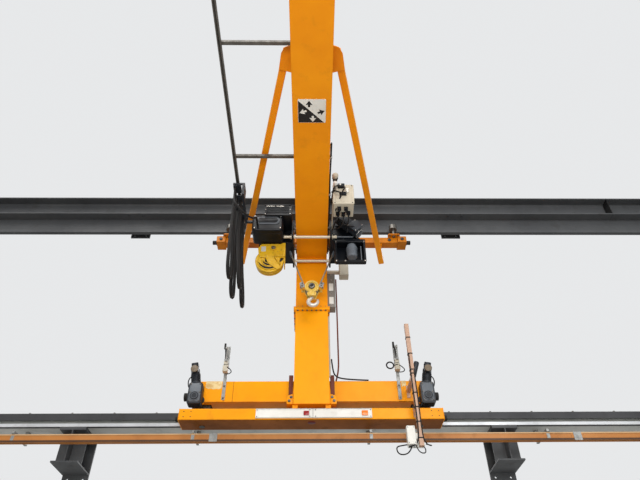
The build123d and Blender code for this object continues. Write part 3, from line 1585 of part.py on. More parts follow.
with BuildPart() as hook:
    body_x = crane_x + 14.0
    body_z = 1580.0
    body = 84.0
    bowl_x = crane_x + 18.0
    bowl_z = 1578.0
    bowl = 34.0
    thickness = 40.0
    hook_clearance = 6.0
    body_top = crosshead_z[0] - 12.0 - hook_clearance
    with BuildSketch(Plane.XZ.offset(-(cross_y + thickness / 2))):
        with Locations((body_x, body_z)):
            Circle(body)
        with Locations((bowl_x, bowl_z)):
            Circle(bowl, mode=Mode.SUBTRACT)
        with BuildLine():
            Polyline(
                (bowl_x + 14.0, bowl_z + 12.0),
                (bowl_x + 12.0, body_top + 60.0),
                (bowl_x + 110.0, body_top + 60.0),
                (bowl_x + 110.0, bowl_z + 36.0),
                (bowl_x + 60.0, bowl_z + 26.0),
                (bowl_x + 34.0, bowl_z + 4.0),
                close=True,
            )
        make_face(mode=Mode.SUBTRACT)
        with Locations((body_x, body_top + 50.0)):
            Rectangle(200.0, 100.0, mode=Mode.SUBTRACT)
    extrude(amount=thickness)
    chamfer(edges().filter_by(GeomType.CIRCLE).filter_by(lambda e: e.length > 80.0), 8.0)
    shank_z = (bowl_z + bowl + 8.0, crosshead_z[1] - 8.0)
    rod("z", (crane_x, cross_y, (shank_z[0] + shank_z[1]) / 2), shank_radius, shank_z[1] - shank_z[0])
    nut_low = crosshead_z[1] - 18.0 + running_gap
    rod("z", (crane_x, cross_y, nut_low + 8.0), 25.0, 16.0)
keep(hook, "hook")
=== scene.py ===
import bpy
from math import acos, atan2, cos, hypot, pi, radians, sin
from mathutils import Matrix, Vector


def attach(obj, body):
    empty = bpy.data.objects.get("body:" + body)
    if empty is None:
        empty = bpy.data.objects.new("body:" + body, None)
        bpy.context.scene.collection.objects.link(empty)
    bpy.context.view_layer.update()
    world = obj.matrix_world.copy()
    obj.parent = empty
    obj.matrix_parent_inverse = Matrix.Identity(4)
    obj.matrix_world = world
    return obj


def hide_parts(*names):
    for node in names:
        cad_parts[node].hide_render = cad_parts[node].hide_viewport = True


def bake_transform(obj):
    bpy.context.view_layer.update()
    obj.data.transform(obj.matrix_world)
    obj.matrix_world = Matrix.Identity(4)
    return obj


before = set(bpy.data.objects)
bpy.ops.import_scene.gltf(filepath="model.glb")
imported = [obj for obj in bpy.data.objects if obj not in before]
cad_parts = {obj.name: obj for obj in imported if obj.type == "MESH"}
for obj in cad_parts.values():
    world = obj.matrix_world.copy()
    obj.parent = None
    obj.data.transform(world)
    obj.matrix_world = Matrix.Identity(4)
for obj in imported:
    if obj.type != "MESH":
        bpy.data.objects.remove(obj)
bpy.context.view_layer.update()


# Small helpers for placing and shaping

axisTurns = {"x": (0, pi / 2, 0), "y": (-pi / 2, 0, 0), "z": (0, 0, 0)}
bevelFrom = radians(35)  # edges that turn more than this are rounded
smoothTo = radians(40)  # and up to this they are shaded smooth


def clearSelection():
    if bpy.context.object and bpy.context.object.mode != "OBJECT":
        bpy.ops.object.mode_set(mode="OBJECT")
    bpy.ops.object.select_all(action="DESELECT")


def pick(piece):
    clearSelection()
    piece.select_set(True)
    bpy.context.view_layer.objects.active = piece
    return piece


def settle(piece):  # puts the place, turn and size into the mesh
    pick(piece)
    bpy.ops.object.transform_apply(location=True, rotation=True, scale=True)
    return piece


def addBlock(low, high):
    clearSelection()
    middle = [(a + b) / 2 for a, b in zip(low, high)]
    size = [abs(b - a) for a, b in zip(low, high)]
    bpy.ops.mesh.primitive_cube_add(size=1, location=middle, scale=size)
    return settle(bpy.context.object)


def addBarrel(axis, middle, radius, length, sides=32):
    clearSelection()
    bpy.ops.mesh.primitive_cylinder_add(
        vertices=sides, radius=radius, depth=length, location=middle, rotation=axisTurns[axis])
    return settle(bpy.context.object)


def addTurned(axis, foot, rings, sides=40):  # rings: (radius, height over the foot), from the foot up
    clearSelection()
    bpy.ops.mesh.primitive_circle_add(vertices=sides, radius=1, fill_type="NGON")
    piece = bpy.context.object
    radius, height = rings[0]
    bpy.ops.object.mode_set(mode="EDIT")
    bpy.ops.mesh.select_all(action="SELECT")
    bpy.ops.transform.resize(value=(radius, radius, 1), center_override=(0, 0, 0))
    bpy.ops.transform.translate(value=(0, 0, height))
    for before, after in zip(rings, rings[1:]):
        bpy.ops.mesh.extrude_region_move(TRANSFORM_OT_translate={"value": (0, 0, after[1] - before[1])})
        share = after[0] / before[0]
        bpy.ops.transform.resize(value=(share, share, 1), center_override=(0, 0, after[1]))
    bpy.ops.mesh.select_all(action="SELECT")
    bpy.ops.mesh.normals_make_consistent(inside=False)
    bpy.ops.object.mode_set(mode="OBJECT")
    piece.rotation_euler = axisTurns[axis]
    piece.location = foot
    return settle(piece)


def addOutline(points, push):  # a flat outline of points, pushed out to a plate
    clearSelection()
    bpy.ops.mesh.primitive_circle_add(vertices=len(points), radius=1, fill_type="NGON")
    piece = bpy.context.object
    for corner, point in zip(piece.data.vertices, points):
        corner.co = point
    bpy.ops.object.mode_set(mode="EDIT")
    bpy.ops.mesh.select_all(action="SELECT")
    bpy.ops.mesh.extrude_region_move(TRANSFORM_OT_translate={"value": push})
    bpy.ops.mesh.select_all(action="SELECT")
    bpy.ops.mesh.normals_make_consistent(inside=False)
    bpy.ops.object.mode_set(mode="OBJECT")
    return piece


def smoothRound(piece):
    pick(piece)
    bpy.ops.object.shade_smooth_by_angle(angle=smoothTo)
    return piece


def roundEdges(piece, width, segments=2):
    pick(piece)
    bevel = piece.modifiers.new("rounding", "BEVEL")
    bevel.width = width
    bevel.segments = segments
    bevel.limit_method = "ANGLE"
    bevel.angle_limit = bevelFrom
    bpy.ops.object.modifier_apply(modifier=bevel.name)
    return smoothRound(piece)


def join(pieces):
    clearSelection()
    for piece in pieces:
        piece.select_set(True)
    bpy.context.view_layer.objects.active = pieces[0]
    if len(pieces) > 1:
        bpy.ops.object.join()
    return pieces[0]


def spread(piece, offsets):  # copies of one piece, joined; the first offset moves the piece itself
    copies = [piece]
    for offset in offsets[1:]:
        pick(piece)
        bpy.ops.object.duplicate(linked=False)
        bpy.ops.transform.translate(value=offset)
        copies.append(bpy.context.object)
    pick(piece)
    bpy.ops.transform.translate(value=offsets[0])
    for one in copies:
        settle(one)
    return join(copies)


def tilt(piece, axis, angle, centre):  # turns a piece's mesh about a point
    centre = Vector(centre)
    turn = Matrix.Translation(centre) @ Matrix.Rotation(angle, 4, axis) @ Matrix.Translation(-centre)
    piece.data.transform(turn)
    return piece


def newLine(name, points, kind, steps=12):  # NURBS runs smoothly by its points, POLY straight through them
    curve = bpy.data.curves.new(name, "CURVE")
    curve.dimensions = "3D"
    spline = curve.splines.new(kind)
    spline.points.add(len(points) - 1)
    for knot, point in zip(spline.points, points):
        knot.co = (*point, 1)
    if kind == "NURBS":
        spline.order_u = 3
        spline.use_endpoint_u = True
    curve.resolution_u = steps
    return curve


def thicken(curve, radius, roundness):  # the line as a round bar with closed ends
    curve.bevel_depth = radius
    curve.bevel_resolution = roundness
    curve.use_fill_caps = True
    bar = bpy.data.objects.new(curve.name, curve)
    bpy.context.scene.collection.objects.link(bar)
    return bar


def makeMesh(bar):
    pick(bar)
    bpy.ops.object.convert(target="MESH")
    return bpy.context.object


def paint(piece, name, finish):
    piece.name = name
    piece.data.name = name
    piece.data.materials.clear()
    piece.data.materials.append(finishes[finish])


def finishPiece(piece, name, finish, body):
    paint(piece, name, finish)
    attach(piece, body)
    return piece


# Node groups for what the finishes share

def newGroup(name, inputs, outputs):
    group = bpy.data.node_groups.new(name, "ShaderNodeTree")
    for label, value in inputs:
        socket = group.interface.new_socket(name=label, in_out="INPUT", socket_type="NodeSocketFloat")
        socket.default_value = value
    for label, kind in outputs:
        group.interface.new_socket(name=label, in_out="OUTPUT", socket_type=kind)
    return group, group.nodes.new("NodeGroupInput").outputs, group.nodes.new("NodeGroupOutput").inputs


def addNode(tree, kind, inputs=None, **settings):
    node = tree.nodes.new(kind)
    for label, value in settings.items():
        setattr(node, label, value)
    for label, value in (inputs or {}).items():
        if isinstance(value, bpy.types.NodeSocket):
            tree.links.new(value, node.inputs[label])
        else:
            node.inputs[label].default_value = value
    return node


def addMath(tree, operation, first, second):
    return addNode(tree, "ShaderNodeMath", {0: first, 1: second}, operation=operation).outputs[0]


def addSpot(tree, stretch):  # the place on the piece, stretched along each axis
    place = addNode(tree, "ShaderNodeTexCoord").outputs["Object"]
    factors = addNode(tree, "ShaderNodeCombineXYZ", stretch).outputs[0]
    return addNode(tree, "ShaderNodeVectorMath", {0: place, 1: factors}, operation="MULTIPLY").outputs[0]


def makeBlotches():  # uneven patches, from 0 to 1, stretched along Z where Tall is over 1
    group, given, made = newGroup(
        "blotches",
        [("Scale", 3.0), ("Tall", 1.0), ("Low", 0.4), ("High", 0.65)],
        [("Mask", "NodeSocketFloat")])
    spot = addSpot(group, {"X": 1.0, "Y": 1.0, "Z": addMath(group, "DIVIDE", 1.0, given["Tall"])})
    noise = addNode(group, "ShaderNodeTexNoise", {
        "Vector": spot, "Scale": given["Scale"], "Detail": 6.0, "Roughness": 0.62})
    span = addNode(group, "ShaderNodeMapRange", {
        "Value": noise.outputs["Fac"], "From Min": given["Low"], "From Max": given["High"]})
    group.links.new(span.outputs["Result"], made["Mask"])
    return group


def makeEdgeWear():  # where edges stand out, and the normal of a slightly rounded edge
    group, given, made = newGroup(
        "edgeWear",
        [("Width", 0.004), ("Amount", 1.0), ("Patchiness", 14.0)],
        [("Mask", "NodeSocketFloat"), ("Normal", "NodeSocketVector")])
    soft = addNode(group, "ShaderNodeBevel", {"Radius": given["Width"]}, samples=4)
    hard = addNode(group, "ShaderNodeNewGeometry")
    match = addNode(group, "ShaderNodeVectorMath", {0: soft.outputs[0], 1: hard.outputs["Normal"]},
                    operation="DOT_PRODUCT")
    bend = addNode(group, "ShaderNodeMapRange", {
        "Value": match.outputs["Value"], "From Min": 0.985, "From Max": 0.86})
    place = addNode(group, "ShaderNodeTexCoord")
    noise = addNode(group, "ShaderNodeTexNoise", {
        "Vector": place.outputs["Object"], "Scale": given["Patchiness"], "Detail": 5.0})
    chips = addNode(group, "ShaderNodeMapRange", {
        "Value": noise.outputs["Fac"], "From Min": 0.42, "From Max": 0.62})
    both = addMath(group, "MULTIPLY", bend.outputs["Result"], chips.outputs["Result"])
    group.links.new(addMath(group, "MULTIPLY", both, given["Amount"]), made["Mask"])
    group.links.new(soft.outputs[0], made["Normal"])
    return group


def makeFineGrain():  # a fine skin: orange peel, casting grain or brushed lines
    group, given, made = newGroup(
        "fineGrain",
        [("Scale", 300.0), ("Along X", 1.0), ("Along Z", 1.0)],
        [("Height", "NodeSocketFloat")])
    spot = addSpot(group, {"X": given["Along X"], "Y": 1.0, "Z": given["Along Z"]})
    noise = addNode(group, "ShaderNodeTexNoise", {"Vector": spot, "Scale": given["Scale"], "Detail": 3.0})
    group.links.new(noise.outputs["Fac"], made["Height"])
    return group


blotches = makeBlotches()
edgeWear = makeEdgeWear()
fineGrain = makeFineGrain()


def tone(red, green, blue):  # a colour as a paint chip shows it, 0 to 255
    parts = []
    for part in (red, green, blue):
        share = part / 255
        parts.append(share / 12.92 if share <= 0.04045 else ((share + 0.055) / 1.055) ** 2.4)
    return (*parts, 1.0)


def addGroup(tree, group, inputs):
    node = tree.nodes.new("ShaderNodeGroup")
    node.node_tree = group
    for label, value in inputs.items():
        node.inputs[label].default_value = value
    return node.outputs


def blend(tree, share, low, high):
    node = tree.nodes.new("ShaderNodeMix")
    node.data_type = "RGBA"
    for label, value in (("Factor", share), ("A", low), ("B", high)):
        socket = [s for s in node.inputs if s.name == label and s.enabled][0]
        if isinstance(value, bpy.types.NodeSocket):
            tree.links.new(value, socket)
        else:
            socket.default_value = value
    return [s for s in node.outputs if s.enabled][0]


# What a look leaves out is taken from here. It gives its own colour, an uneven second tint and dirt;
# smooth and rough are its least and greatest roughness.
plainLook = dict(
    patchScale=1.6, patchFrom=0.35, patchFull=0.7,
    dirtScale=7.0, dirtTall=1.0, dirtFrom=0.56, dirtFull=0.8, dirtAmount=0.35, dirtDulls=0.35,
    worn=0.5, wornColour=(150, 140, 125), edge=0.004, patchiness=18.0,
    smooth=0.35, rough=0.5, metal=0.0, shine=0.28,
    grainScale=260.0, grainX=1.0, grainZ=1.0, bump=0.06, bumpDepth=0.002)


def newFinish(name, ownLook):
    look = {**plainLook, **ownLook}
    material = bpy.data.materials.new(name)
    material.use_nodes = True
    tree = material.node_tree
    shader = tree.nodes["Principled BSDF"]
    patches = addGroup(tree, blotches, {
        "Scale": look["patchScale"], "Low": look["patchFrom"], "High": look["patchFull"]})
    grime = addGroup(tree, blotches, {
        "Scale": look["dirtScale"], "Tall": look["dirtTall"],
        "Low": look["dirtFrom"], "High": look["dirtFull"]})
    edges = addGroup(tree, edgeWear, {
        "Width": look["edge"], "Amount": look["worn"], "Patchiness": look["patchiness"]})
    grain = addGroup(tree, fineGrain, {
        "Scale": look["grainScale"], "Along X": look["grainX"], "Along Z": look["grainZ"]})
    soiled = addMath(tree, "MULTIPLY", grime["Mask"], look["dirtAmount"])
    colour = blend(tree, patches["Mask"], tone(*look["colour"]), tone(*look["second"]))
    colour = blend(tree, soiled, colour, tone(*look["dirt"]))
    colour = blend(tree, edges["Mask"], colour, tone(*look["wornColour"]))
    tree.links.new(colour, shader.inputs["Base Color"])
    gloss = addNode(tree, "ShaderNodeMapRange", {
        "Value": patches["Mask"], "To Min": look["smooth"], "To Max": look["rough"]})
    dulled = addMath(tree, "MULTIPLY", soiled, look["dirtDulls"])
    tree.links.new(addMath(tree, "ADD", gloss.outputs["Result"], dulled), shader.inputs["Roughness"])
    shader.inputs["Metallic"].default_value = look["metal"]
    shader.inputs["Specular IOR Level"].default_value = look["shine"]
    bump = addNode(tree, "ShaderNodeBump", {
        "Strength": look["bump"], "Distance": look["bumpDepth"],
        "Height": grain["Height"], "Normal": edges["Normal"]})
    tree.links.new(bump.outputs["Normal"], shader.inputs["Normal"])
    return material


looks = {
    "jibOrange": dict(
        colour=(234, 146, 8), second=(224, 133, 6), dirt=(124, 82, 22), dirtAmount=0.2,
        wornColour=(150, 92, 24), worn=0.3, shine=0.16, smooth=0.34, rough=0.48),
    "craneYellow": dict(
        colour=(238, 156, 4), second=(224, 138, 3), dirt=(96, 64, 20), dirtAmount=0.42, dirtScale=5.0,
        dirtTall=2.5, wornColour=(130, 82, 30), shine=0.14, smooth=0.3, rough=0.46),
    "postYellow": dict(
        colour=(242, 158, 6), second=(234, 148, 4), dirt=(150, 98, 26), dirtAmount=0.18,
        wornColour=(140, 88, 30), worn=0.4, shine=0.14, smooth=0.32, rough=0.46),
    # the crane's orange darkened for the shade on the upper carriage near the wall: painted shade
    "carriageShadeOrange": dict(
        colour=(178, 104, 8), second=(158, 90, 6), dirt=(82, 52, 18), dirtAmount=0.45,
        wornColour=(110, 72, 30), shine=0.16, smooth=0.36),
    # a darker orange for the beam's seam lines and for the painted shade on the guide beam's underside
    "seamAndShadeYellow": dict(
        colour=(138, 78, 6), second=(104, 56, 6), dirt=(54, 32, 12), dirtAmount=0.55, dirtScale=4.0,
        worn=0.2, shine=0.12, smooth=0.42, rough=0.56),
    "wornSteel": dict(
        colour=(96, 93, 87), second=(76, 73, 68), dirt=(48, 43, 37), dirtAmount=0.4, patchScale=14.0,
        metal=0.3, smooth=0.42, rough=0.58),
    "brightBar": dict(
        colour=(200, 202, 204), second=(170, 172, 174), dirt=(92, 86, 78),
        metal=0.25, smooth=0.32, rough=0.46, grainX=0.02),
    "girderPale": dict(
        colour=(184, 186, 182), second=(160, 162, 158), dirt=(96, 90, 82), dirtAmount=0.4,
        wornColour=(96, 92, 86), worn=0.3, smooth=0.46, rough=0.62),
    "blockYellow": dict(
        colour=(212, 176, 84), second=(190, 150, 58), dirt=(66, 54, 34), dirtAmount=0.55,
        dirtScale=26.0, wornColour=(150, 140, 116), worn=0.6, smooth=0.26, rough=0.4),
    "girderGrey": dict(
        colour=(72, 73, 74), second=(60, 61, 63), dirt=(44, 39, 34), dirtAmount=0.45,
        wornColour=(124, 122, 118), worn=0.3, smooth=0.46, rough=0.62),
    "girderDark": dict(
        colour=(58, 58, 60), second=(46, 46, 48), dirt=(34, 30, 27), dirtAmount=0.4,
        wornColour=(96, 94, 90), worn=0.3, smooth=0.46, rough=0.62),
    "railSteel": dict(
        colour=(124, 123, 120), second=(92, 91, 88), dirt=(52, 45, 38), dirtAmount=0.4,
        metal=0.6, smooth=0.3, rough=0.44, grainX=0.02, bump=0.12),
    "conductorBrown": dict(
        colour=(176, 116, 58), second=(160, 100, 46), dirt=(70, 46, 28),
        worn=0.2, smooth=0.42, rough=0.56),
    "conductorPale": dict(
        colour=(196, 160, 118), second=(176, 138, 96), dirt=(84, 58, 38), dirtAmount=0.3,
        worn=0.0, smooth=0.42, rough=0.56),
    "conductorDark": dict(
        colour=(78, 50, 28), second=(64, 40, 22), dirt=(40, 28, 20), dirtAmount=0.3,
        worn=0.0, smooth=0.42, rough=0.56),
    "galvanised": dict(
        colour=(152, 152, 148), second=(122, 123, 122), dirt=(76, 70, 62), patchScale=22.0,
        metal=0.55, smooth=0.38, rough=0.55),
    "driveGrey": dict(
        colour=(36, 40, 46), second=(27, 30, 35), dirt=(74, 68, 60), dirtAmount=0.32,
        wornColour=(84, 87, 92), worn=0.4, smooth=0.36, rough=0.52, grainScale=420.0, bump=0.16),
    "motorGrey": dict(
        colour=(98, 103, 109), second=(82, 87, 93), dirt=(52, 48, 44),
        wornColour=(126, 130, 134), worn=0.4, smooth=0.34, grainScale=420.0, bump=0.12),
    "hoistBlack": dict(
        colour=(12, 15, 20), second=(9, 11, 15), dirt=(40, 39, 38), dirtAmount=0.16,
        wornColour=(78, 80, 84), worn=0.4, shine=0.2, smooth=0.28, rough=0.42),
    "bezelGrey": dict(
        colour=(88, 93, 99), second=(74, 79, 85), dirt=(90, 84, 76), dirtAmount=0.25,
        wornColour=(110, 114, 118), worn=0.4, smooth=0.3, rough=0.44),
    "rubberBlack": dict(
        colour=(20, 19, 19), second=(27, 25, 24), dirt=(72, 66, 58), dirtAmount=0.22,
        worn=0.0, smooth=0.6, rough=0.78, bump=0.1),
    "enamelYellow": dict(
        colour=(216, 174, 38), second=(200, 154, 26), dirt=(62, 52, 28), dirtAmount=0.5,
        dirtScale=16.0, wornColour=(146, 136, 108), worn=0.6, smooth=0.26, rough=0.4),
    "boxCream": dict(
        colour=(188, 180, 162), second=(170, 161, 142), dirt=(92, 80, 64), dirtAmount=0.38,
        worn=0.2, smooth=0.42, rough=0.56),
    "flakyCream": dict(
        colour=(226, 206, 158), second=(206, 178, 116), dirt=(180, 128, 50), dirtAmount=0.55,
        dirtScale=12.0, dirtFrom=0.46, dirtFull=0.62, worn=0.0, smooth=0.5, rough=0.66),
    "gussetBrown": dict(
        colour=(104, 44, 24), second=(88, 34, 18), dirt=(52, 26, 18),
        worn=0.2, smooth=0.4, rough=0.56),
    "trunkGrey": dict(
        colour=(126, 120, 112), second=(104, 98, 90), dirt=(66, 58, 48),
        worn=0.3, smooth=0.38, rough=0.52),
    "labelPale": dict(
        colour=(198, 196, 190), second=(180, 178, 171), dirt=(118, 108, 94), dirtAmount=0.3,
        worn=0.1, smooth=0.3, rough=0.42),
    "signWhite": dict(
        colour=(224, 221, 214), second=(204, 200, 190), dirt=(134, 122, 104), dirtAmount=0.28,
        worn=0.1, smooth=0.28, rough=0.4),
    "signBlack": dict(
        colour=(20, 20, 21), second=(28, 27, 27), dirt=(60, 56, 50), dirtAmount=0.2,
        worn=0.0, smooth=0.4, rough=0.52),
    "lampRed": dict(
        colour=(176, 16, 22), second=(152, 10, 16), dirt=(70, 14, 14), dirtAmount=0.3,
        worn=0.0, shine=0.5, smooth=0.14, rough=0.24),
    "lampOrange": dict(
        colour=(236, 124, 10), second=(224, 106, 6), dirt=(122, 60, 14), dirtAmount=0.25,
        worn=0.0, shine=0.5, smooth=0.14, rough=0.24),
    "lensDark": dict(
        colour=(92, 8, 12), second=(72, 6, 10), dirt=(30, 8, 8), dirtAmount=0.3,
        worn=0.0, shine=0.2, smooth=0.3, rough=0.4),
    "discBrown": dict(
        colour=(118, 104, 86), second=(98, 84, 68), dirt=(54, 46, 38), dirtAmount=0.4,
        worn=0.3, smooth=0.4, rough=0.55),
    "rollerSteel": dict(
        colour=(104, 101, 96), second=(78, 75, 71), dirt=(42, 36, 30), dirtAmount=0.5,
        metal=0.7, smooth=0.32),
    "brightRod": dict(
        colour=(206, 201, 194), second=(170, 164, 156), dirt=(92, 80, 66), dirtAmount=0.28,
        metal=0.8, smooth=0.2, rough=0.34, grainX=0.05, bump=0.08),
    "rodCream": dict(
        colour=(200, 190, 170), second=(182, 171, 150), dirt=(98, 86, 70), dirtAmount=0.3,
        worn=0.0, metal=0.2, smooth=0.26, rough=0.4, bump=0.02),
    "ropeSteel": dict(
        colour=(158, 150, 132), second=(128, 119, 102), dirt=(66, 58, 46), dirtAmount=0.4,
        worn=0.0, metal=0.4, smooth=0.4, rough=0.56, grainScale=500.0, grainZ=2.5, bump=0.5),
    "forgedSteel": dict(
        colour=(214, 209, 200), second=(166, 160, 151), dirt=(86, 74, 60), dirtScale=30.0,
        metal=0.4, smooth=0.3, rough=0.46),
    "polePink": dict(
        colour=(192, 160, 138), second=(170, 132, 108), dirt=(84, 58, 44), dirtAmount=0.45,
        dirtTall=3.0, worn=0.3, smooth=0.42, rough=0.56),
}
finishes = {name: newFinish(name, look) for name, look in looks.items()}

nodeFinishes = {
    "girderGrey": ["lower_brackets", "upper_brackets", "upper_girder", "upper_guide_rail",
                   "runway_end_stops"],
    "railSteel": ["wheel_rail"],
    "brightBar": ["guide_bar"],
    "conductorBrown": ["conductor_rail"],
    "galvanised": ["conductor_hangers", "limit_switches"],
    "wornSteel": ["festoon_rail"],
    "craneYellow": ["wheel_beam", "guide_beam"],
    "postYellow": ["lower_post"],
    # the upper carriage gets the darkened orange: painted shade
    "carriageShadeOrange": ["upper_carriage"],
    "girderPale": ["lower_girder"],
    "blockYellow": ["block_cheeks"],
    "motorGrey": ["hoist_motor"],
    "gussetBrown": ["post_gussets"],
    "jibOrange": ["upper_post", "jib_girder", "brace_left", "brace_right"],
    "rollerSteel": ["travel_wheels", "guide_rollers", "trolley_runners", "block_sheaves"],
    "rubberBlack": ["travel_buffers", "hoist_lead", "cable_loop_1", "cable_loop_2", "cable_loop_3",
                    "cable_loop_4"],
    "driveGrey": ["travel_drives", "travel_motor", "warning_horn", "cable_trolley_1", "cable_trolley_2",
                  "cable_trolley_3", "cable_trolley_4", "tow_arm"],
    "hoistBlack": ["trolley_side_left", "trolley_side_right", "hoist_cover", "motor_frame", "drum_housing"],
    "enamelYellow": ["drum_guard"],
    "boxCream": ["control_cabinet", "junction_boxes"],
    "signWhite": ["signal_panel", "direction_sign", "collector", "collector_box"],
    "rodCream": ["trolley_rods"],
    "ropeSteel": ["ropes"],
    "forgedSteel": ["hook"],
    "polePink": ["collector_pole"],
}
for finish, names in nodeFinishes.items():
    for name in names:
        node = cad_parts[name]
        node.data.materials.clear()
        node.data.materials.append(finishes[finish])
print("finishes made:", len(finishes))


# Camera, at the photo's own place

view = {
    "place": (2.75, -6.77, -2.49),
    "pitch": radians(41.454),
    "yaw": radians(1.120),
    "roll": radians(-0.702),
    "lens": 31.55,
    "sensor": 36,
    "farthest": 400,
}


def addCamera():
    pitch, yaw, roll = view["pitch"], view["yaw"], view["roll"]
    ahead = Vector((sin(yaw) * cos(pitch), cos(yaw) * cos(pitch), sin(pitch)))
    right = Vector((cos(yaw), -sin(yaw), 0))
    up = right.cross(ahead)
    right, up = right * cos(roll) + up * sin(roll), up * cos(roll) - right * sin(roll)
    turn = Matrix((right, up, -ahead)).transposed()
    data = bpy.data.cameras.new("photoCamera")
    data.lens = view["lens"]
    data.sensor_width = view["sensor"]
    data.clip_end = view["farthest"]
    camera = bpy.data.objects.new("photoCamera", data)
    camera.matrix_world = Matrix.Translation(view["place"]) @ turn.to_4x4()
    bpy.context.scene.collection.objects.link(camera)
    bpy.context.scene.camera = camera


addCamera()
print("camera placed")


# Cords: the festoon loops and the lead to the hoist

routeSteps = 16  # stretches of a cord's line between two of its points

festoon = {
    "count": 4, "x": 1.81, "clampY": -1.19, "pitch": 0.17, "leg": 0.03, "shift": 0.024,
    "foot": 1.34, "footStep": 0.014, "top": 2.69, "below": 0.0003, "leans": (0.085, 0.030),
    "diameter": 0.04, "fixedZ": 2.0,
}

# The five cables of a loop: wander is how far each one drifts from its place in the bundle
bundle = {
    "radius": 0.0078, "wander": 0.0016, "waves": 5.0,
    "places": [(-0.0118, -0.006), (0.0002, -0.0118), (0.0118, -0.005), (-0.0078, 0.0086), (0.0076, 0.0092)],
}


def loopRoute(index):  # the route of one loop, as in the part
    x = festoon["x"] + (-festoon["shift"] if index % 2 else festoon["shift"])
    lean = festoon["leans"][index % 2]
    nearY = festoon["clampY"] - index * festoon["pitch"] - festoon["leg"]
    farY = nearY - festoon["pitch"] + 2 * festoon["leg"]
    middle = (nearY + farY) / 2
    foot = festoon["foot"] + festoon["footStep"] * index
    return [
        (x, nearY, festoon["top"] - festoon["below"]),
        (x, nearY, 2.340),
        (x + 0.35 * lean, middle + 0.098, 1.960),
        (x + 0.75 * lean, middle + 0.128, 1.640),
        (x + 0.96 * lean, middle + 0.134, foot + 0.082),
        (x + lean, middle + 0.058, foot),
        (x + lean, middle - 0.056, foot + 0.002),
        (x + 0.95 * lean, middle - 0.136, foot + 0.078),
        (x + 0.74 * lean, middle - 0.126, 1.630),
        (x + 0.34 * lean, middle - 0.092, 1.950),
        (x, farY, 2.330),
        (x, farY, festoon["top"]),
    ]


def sampledRoute(route):  # the points of the smooth line itself
    line = bpy.data.objects.new("routeLine", newLine("routeLine", route, "NURBS", routeSteps))
    bpy.context.scene.collection.objects.link(line)
    bpy.context.view_layer.update()
    mesh = bpy.data.meshes.new_from_object(line.evaluated_get(bpy.context.evaluated_depsgraph_get()))
    points = [v.co.copy() for v in mesh.vertices]
    bpy.data.meshes.remove(mesh)
    bpy.data.objects.remove(line)
    return points


def lengthOf(points):
    return sum((b - a).length for a, b in zip(points, points[1:]))


def addStrand(points, place):  # one cable that keeps its place in the bundle, apart from a little drift
    last = len(points) - 1
    across = Vector((1, 0, 0))
    spots = []
    for i, point in enumerate(points):
        ahead = (points[min(i + 1, last)] - points[max(i - 1, 0)]).normalized()
        over = ahead.cross(across)
        drift = bundle["wander"] * sin(pi * i / last) * sin(bundle["waves"] * pi * i / last + place[0] * 300)
        spots.append(point + across * (place[0] + drift) + over * (place[1] - drift * 0.5))
    return makeMesh(thicken(newLine("strand", spots, "POLY"), bundle["radius"], 1))


def addFestoonLoop(index):
    points = sampledRoute(loopRoute(index))
    loop = pick(join([addStrand(points, place) for place in bundle["places"]]))
    bpy.ops.object.shade_smooth()
    paint(loop, f"festoonLoop{index + 1}", "rubberBlack")
    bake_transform(loop)
    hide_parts(f"cable_loop_{index + 1}")


hoistLead = {
    "diameter": 0.026,
    "route": [
        (1.786, -1.900, 2.6897), (1.786, -1.900, 2.548), (1.802, -1.950, 2.400), (1.866, -1.938, 2.302),
        (1.950, -1.846, 2.268), (2.015, -1.740, 2.310), (2.046, -1.678, 2.392), (2.050, -1.594, 2.450),
        (2.050, -1.470, 2.450)],
}


def addHoistLead():
    route, diameter = hoistLead["route"], hoistLead["diameter"]
    lead = thicken(newLine("hoistLead", route, "NURBS", routeSteps), diameter / 2, 4)
    paint(lead, "hoistLead", "rubberBlack")
    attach(lead, "trolley")
    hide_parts("hoist_lead")
    lengthOf(sampledRoute(route))


for index in range(festoon["count"]):
    addFestoonLoop(index)
addHoistLead()
print("cords laid")


# Shapes that the details share. Their places are counted from the crane's middle line.

craneX = 2.75


def at(x, y, z):
    return (craneX + x, y, z)


def allAt(spots):
    return [at(*spot) for spot in spots]


def addBolts(axis, spots, size, out=-1, start=craneX):  # hexagon heads on washers, standing out along axis
    lift = [size * out if letter == axis else 0 for letter in "xyz"]
    washer = addBarrel(axis, [v * 0.15 for v in lift], size * 1.35, size * 0.3, 14)
    head = addBarrel(axis, [v * 0.7 for v in lift], size, size * 0.8, 6)
    return spread(join([washer, head]), [(start + x, y, z) for x, y, z in spots])


def addRing(axis, middle, radius, thickness, sides=40):
    clearSelection()
    bpy.ops.mesh.primitive_torus_add(
        major_radius=radius, minor_radius=thickness, major_segments=sides, minor_segments=10,
        location=middle, rotation=axisTurns[axis])
    return smoothRound(settle(bpy.context.object))


def roundedPoints(axis, middle, width, height, corner, steps=5):  # a rectangle with round corners
    flat = []
    for turn, (sideA, sideB) in enumerate(((1, 1), (-1, 1), (-1, -1), (1, -1))):
        for i in range(steps + 1):
            angle = pi / 2 * (turn + i / steps)
            flat.append((sideA * (width / 2 - corner) + corner * cos(angle),
                         sideB * (height / 2 - corner) + corner * sin(angle)))
    layOut = {"x": lambda a, b: (0, a, b), "y": lambda a, b: (a, 0, b), "z": lambda a, b: (a, b, 0)}[axis]
    return [tuple(m + p for m, p in zip(middle, layOut(a, b))) for a, b in flat]


def addPanel(axis, middle, width, height, corner, thickness, soft=0.0015):
    push = [thickness if letter == axis else 0 for letter in "xyz"]
    panel = addOutline(roundedPoints(axis, middle, width, height, corner), push)
    return roundEdges(panel, soft) if soft else panel


def addHose(route, radius):  # a bent cable or pipe
    return smoothRound(makeMesh(thicken(newLine("hose", allAt(route), "NURBS", 5), radius, 2)))


# Hoist trolley, left: cover, louvred box and the yellow drum guard

